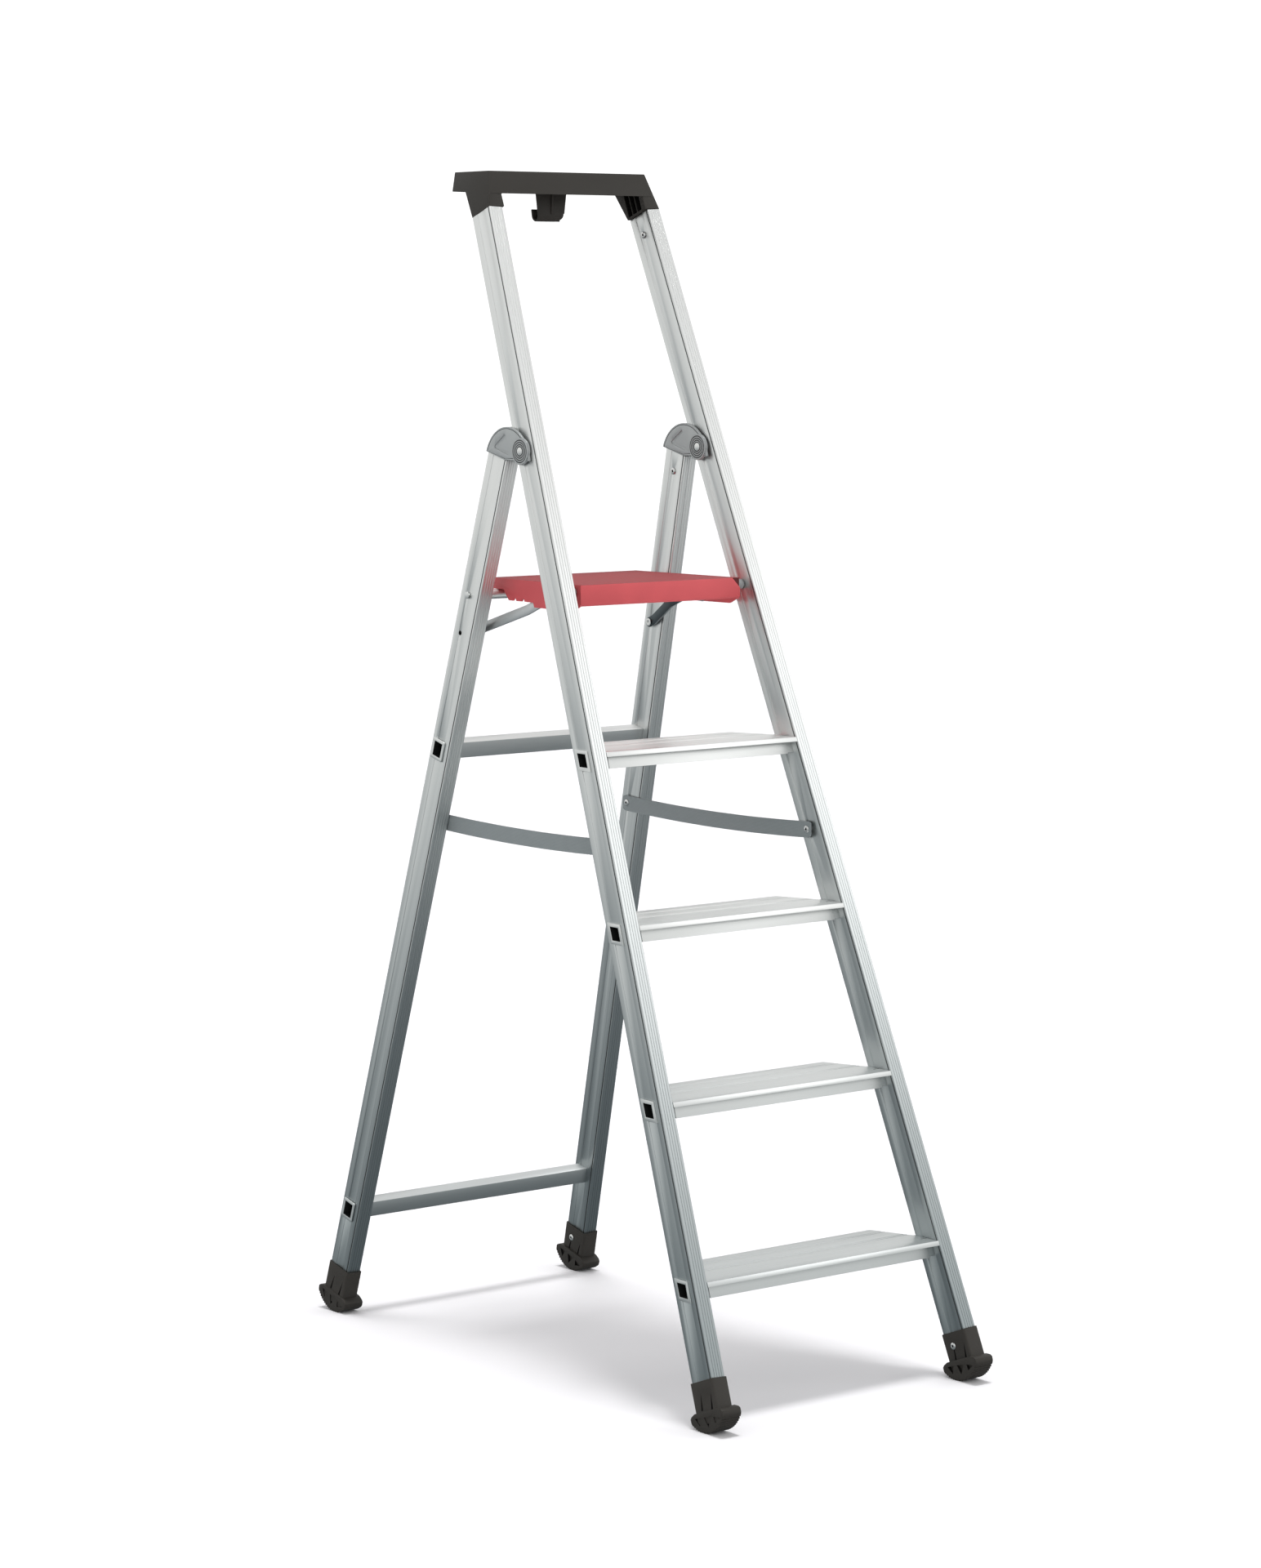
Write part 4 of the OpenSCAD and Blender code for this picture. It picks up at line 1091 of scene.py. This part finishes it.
class MakePlatform(bpy.types.Operator):
    """Makes the red standing platform with notched skirts and a cut lip corner"""

    bl_idname = "ladder.platform"
    bl_label = "Platform"

    def execute(self, context):
        piece = cad_copy("platform", "platform_moulding", whole_faces=False)
        piece.data.materials.append(FINISHES["red"])
        low, high = box("platform")
        # The lip's right upper corner, cut at 45 degrees; the cut faces get a dark red as painted shade in the recess.
        cutter = block("corner", (-0.0105, -0.02, -0.0105), (0.0105, 0.0022, 0.0105))
        cutter.data.materials.append(FINISHES["red_hollow"])
        moved(cutter, Matrix.Translation((high.x, low.y, high.z)) @ Matrix.Rotation(pi / 4, 4, "Y"))
        carve(piece, cutter)
        skirt_y = low.y + 0.122
        for offset, radius in ((0.012, 0.0042), (0.034, 0.0042)):
            centre = (skirt_y + offset + 0.018, high.z - 0.0325)
            notch = plate("notch", arc(centre, radius, 0, 345, 23), -0.2, 0.2)
            carve(piece, notch)
        # Painted shade: the deck's upward faces get the darker red.
        paint(piece, FINISHES["red_top"], lambda f: f.normal.z > 0.9 and f.center.z > high.z - 0.0015)
        without_short_edges(piece)
        rounded(piece, 0.0004, 2, 40)
        finished(piece, FINISHES["red"], "platform", "red_deck", "platform")
        return {"FINISHED"}


# ---- Straps -------------------------------------------------------------


def make_strap(word, side):
    node = f"strap_{word}"
    size = sizes()
    low, high = box(node)
    outer = high.x if side > 0 else low.x
    ends = [strap_hole("strap_rivets_front", side), strap_hole("strap_rivets_rear", side)]
    first, last = Vector((outer, ends[0][0], ends[0][1])), Vector((outer, ends[1][0], ends[1][1]))
    reach = (last - first).normalized() * 0.010
    sag, steps, across = 0.006, 64, 8
    only_nothing()
    bpy.ops.mesh.primitive_grid_add(x_subdivisions=steps, y_subdivisions=across, size=1)
    strap = made(f"strap_{word}_webbing")
    uv = strap.data.uv_layers.active or strap.data.uv_layers.new()
    uv.name = "weave"
    total = (last - first).length + 0.02
    rows = {}
    for vertex in strap.data.vertices:
        t, w = vertex.co.x + 0.5, vertex.co.y
        rows[vertex.index] = (t * total, w * size.strap_width)
        taper = 1.0
        near_end = min(t, 1 - t) * total
        if near_end < 0.004:
            taper = 0.80 + 0.20 * near_end / 0.004
        along = (first - reach) + (last - first + 2 * reach) * t
        droop = 1 - (2 * t - 1) ** 2
        curl = 0.0006 * sin(5 * pi * t) * droop
        vertex.co = along + Vector((-side * (0.0002 + abs(curl)), 0, w * size.strap_width * taper - sag * droop))
    for loop in strap.data.loops:
        uv.data[loop.index].uv = rows[loop.vertex_index]
    modify(strap, "SOLIDIFY", thickness=size.strap_thickness, offset=0.0)
    shift = Vector((-side * size.strap_thickness / 2, 0, 0))
    moved(strap, Matrix.Translation(shift))
    outwards(strap)
    rounded(strap, 0.0003, 2, 50)
    strap.data.materials.append(FINISHES["strap"])
    smooth(strap)
    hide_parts(node)
    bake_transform(strap)


def strap_hole(node, side):
    """Where a strap's rivet passes it, as y and z."""
    points = half_node(node, side)
    return [sum(span([p[i] for p in points])) / 2 for i in (1, 2)]


class MakeStraps(bpy.types.Operator):
    """Makes the two webbing straps that limit how far the frames open"""

    bl_idname = "ladder.straps"
    bl_label = "Straps"

    def execute(self, context):
        for word, side in SIDES.items():
            make_strap(word, side)
        return {"FINISHED"}


# ---- Stage --------------------------------------------------------------


def aimed(location, target):
    """A rotation that looks from one point to another."""
    return (Vector(target) - Vector(location)).to_track_quat("-Z", "Y").to_euler()


def softbox(name, location, target, size, power, tint=(1, 1, 1)):
    bpy.ops.object.light_add(type="AREA", location=location, rotation=aimed(location, target))
    light = bpy.context.object
    light.name = name
    light.data.shape = "RECTANGLE"
    light.data.size, light.data.size_y = size
    light.data.energy = power
    light.data.color = tint


def make_world():
    world = bpy.data.worlds.new("studio")
    bpy.context.scene.world = world
    world.use_nodes = True
    nodes, links = world.node_tree.nodes, world.node_tree.links
    place = nodes.new("ShaderNodeTexCoord")
    parts = nodes.new("ShaderNodeSeparateXYZ")
    ramp = nodes.new("ShaderNodeValToRGB")
    stops = [
        (0.25, (0.15, 0.17, 0.18)), (0.40, (0.34, 0.37, 0.38)), (0.475, (0.70, 0.72, 0.72)),
        (0.54, (0.82, 0.83, 0.82)), (0.82, (0.84, 0.84, 0.84)), (1.0, (0.45, 0.45, 0.46)),
    ]
    while len(ramp.color_ramp.elements) < len(stops):
        ramp.color_ramp.elements.new(0.5)
    for element, (position, shade) in zip(ramp.color_ramp.elements, stops):
        element.position = position
        element.color = (*shade, 1)
    height = nodes.new("ShaderNodeMapRange")
    height.inputs["From Min"].default_value = -1
    links.new(place.outputs["Generated"], parts.inputs[0])
    links.new(parts.outputs["Z"], height.inputs["Value"])
    links.new(height.outputs[0], ramp.inputs[0])
    studio = nodes["Background"]
    links.new(ramp.outputs[0], studio.inputs["Color"])
    plain = nodes.new("ShaderNodeBackground")
    plain.inputs["Color"].default_value = (1, 1, 1, 1)
    plain.inputs["Strength"].default_value = 1.2
    seen = nodes.new("ShaderNodeLightPath")
    choice = nodes.new("ShaderNodeMixShader")
    links.new(seen.outputs["Is Camera Ray"], choice.inputs[0])
    links.new(studio.outputs[0], choice.inputs[1])
    links.new(plain.outputs[0], choice.inputs[2])
    links.new(choice.outputs[0], nodes["World Output"].inputs["Surface"])


class MakeStage(bpy.types.Operator):
    """Makes the pale floor, the soft studio light and the camera"""

    bl_idname = "ladder.stage"
    bl_label = "Stage"

    def execute(self, context):
        only_nothing()
        bpy.ops.mesh.primitive_circle_add(vertices=96, radius=30, fill_type="NGON")
        floor = made("studio_floor")
        finish = Finish("floor_paper", Roughness=0.9)
        x, y, z = finish.place()
        speck = finish.noise(finish.point(x, y, z), 4.0, 2)
        finish.to_shader("Base Color", finish.mix(speck, (0.93, 0.92, 0.94, 1), (0.95, 0.94, 0.96, 1)))
        floor.data.materials.append(finish.material)
        floor.visible_glossy = False
        make_world()
        softbox("front_softbox", (4.2, -4.4, 3.6), (0, 0, 1.0), (4.0, 3.0), 46)
        bpy.ops.object.light_add(type="SUN", rotation=(radians(2), radians(1), 0))
        sun = context.object
        sun.name = "overhead_sun"
        sun.data.angle = radians(13)
        sun.data.energy = 1.5

        bpy.ops.object.camera_add(
            location=(-3.9151, -4.9516, 1.5556),
            rotation=(radians(90 - 6.367), 0, radians(-38.17)),
        )
        camera = context.object
        camera.data.lens = 97.88
        camera.data.sensor_width = 36
        context.scene.camera = camera
        context.scene.view_settings.view_transform = "Standard"
        return {"FINISHED"}


# ---- Add-on -------------------------------------------------------------

STEPS = [MakeStage, MakeMetal, MakePins, MakeRivets, MakeFeet, MakeHead, MakeHinges, MakePlatform, MakeStraps]


class LadderPanel(bpy.types.Panel):
    """Lists the ladder's steps and settings"""

    bl_idname = "VIEW3D_PT_ladder"
    bl_label = "Step ladder"
    bl_space_type = "VIEW_3D"
    bl_region_type = "UI"
    bl_category = "Ladder"

    def draw(self, context):
        for step in STEPS:
            self.layout.operator(step.bl_idname)
        for group in (context.scene.ladder_sizes, context.scene.ladder_look):
            for name in group.__annotations__:
                self.layout.prop(group, name)


CLASSES = [LadderSizes, LadderLook, *STEPS, LadderPanel]


def register():
    for cls in CLASSES:
        bpy.utils.register_class(cls)
    bpy.types.Scene.ladder_sizes = PointerProperty(type=LadderSizes)
    bpy.types.Scene.ladder_look = PointerProperty(type=LadderLook)


def unregister():
    del bpy.types.Scene.ladder_look
    del bpy.types.Scene.ladder_sizes
    for cls in reversed(CLASSES):
        bpy.utils.unregister_class(cls)


def main():
    register()
    make_finishes(look())
    bpy.ops.ladder.stage()
    bpy.ops.ladder.metal()
    bpy.ops.ladder.pins()
    bpy.ops.ladder.rivets()
    bpy.ops.ladder.feet()
    bpy.ops.ladder.head()
    bpy.ops.ladder.hinges()
    bpy.ops.ladder.platform()
    bpy.ops.ladder.straps()


if __name__ == "__main__":
    main()
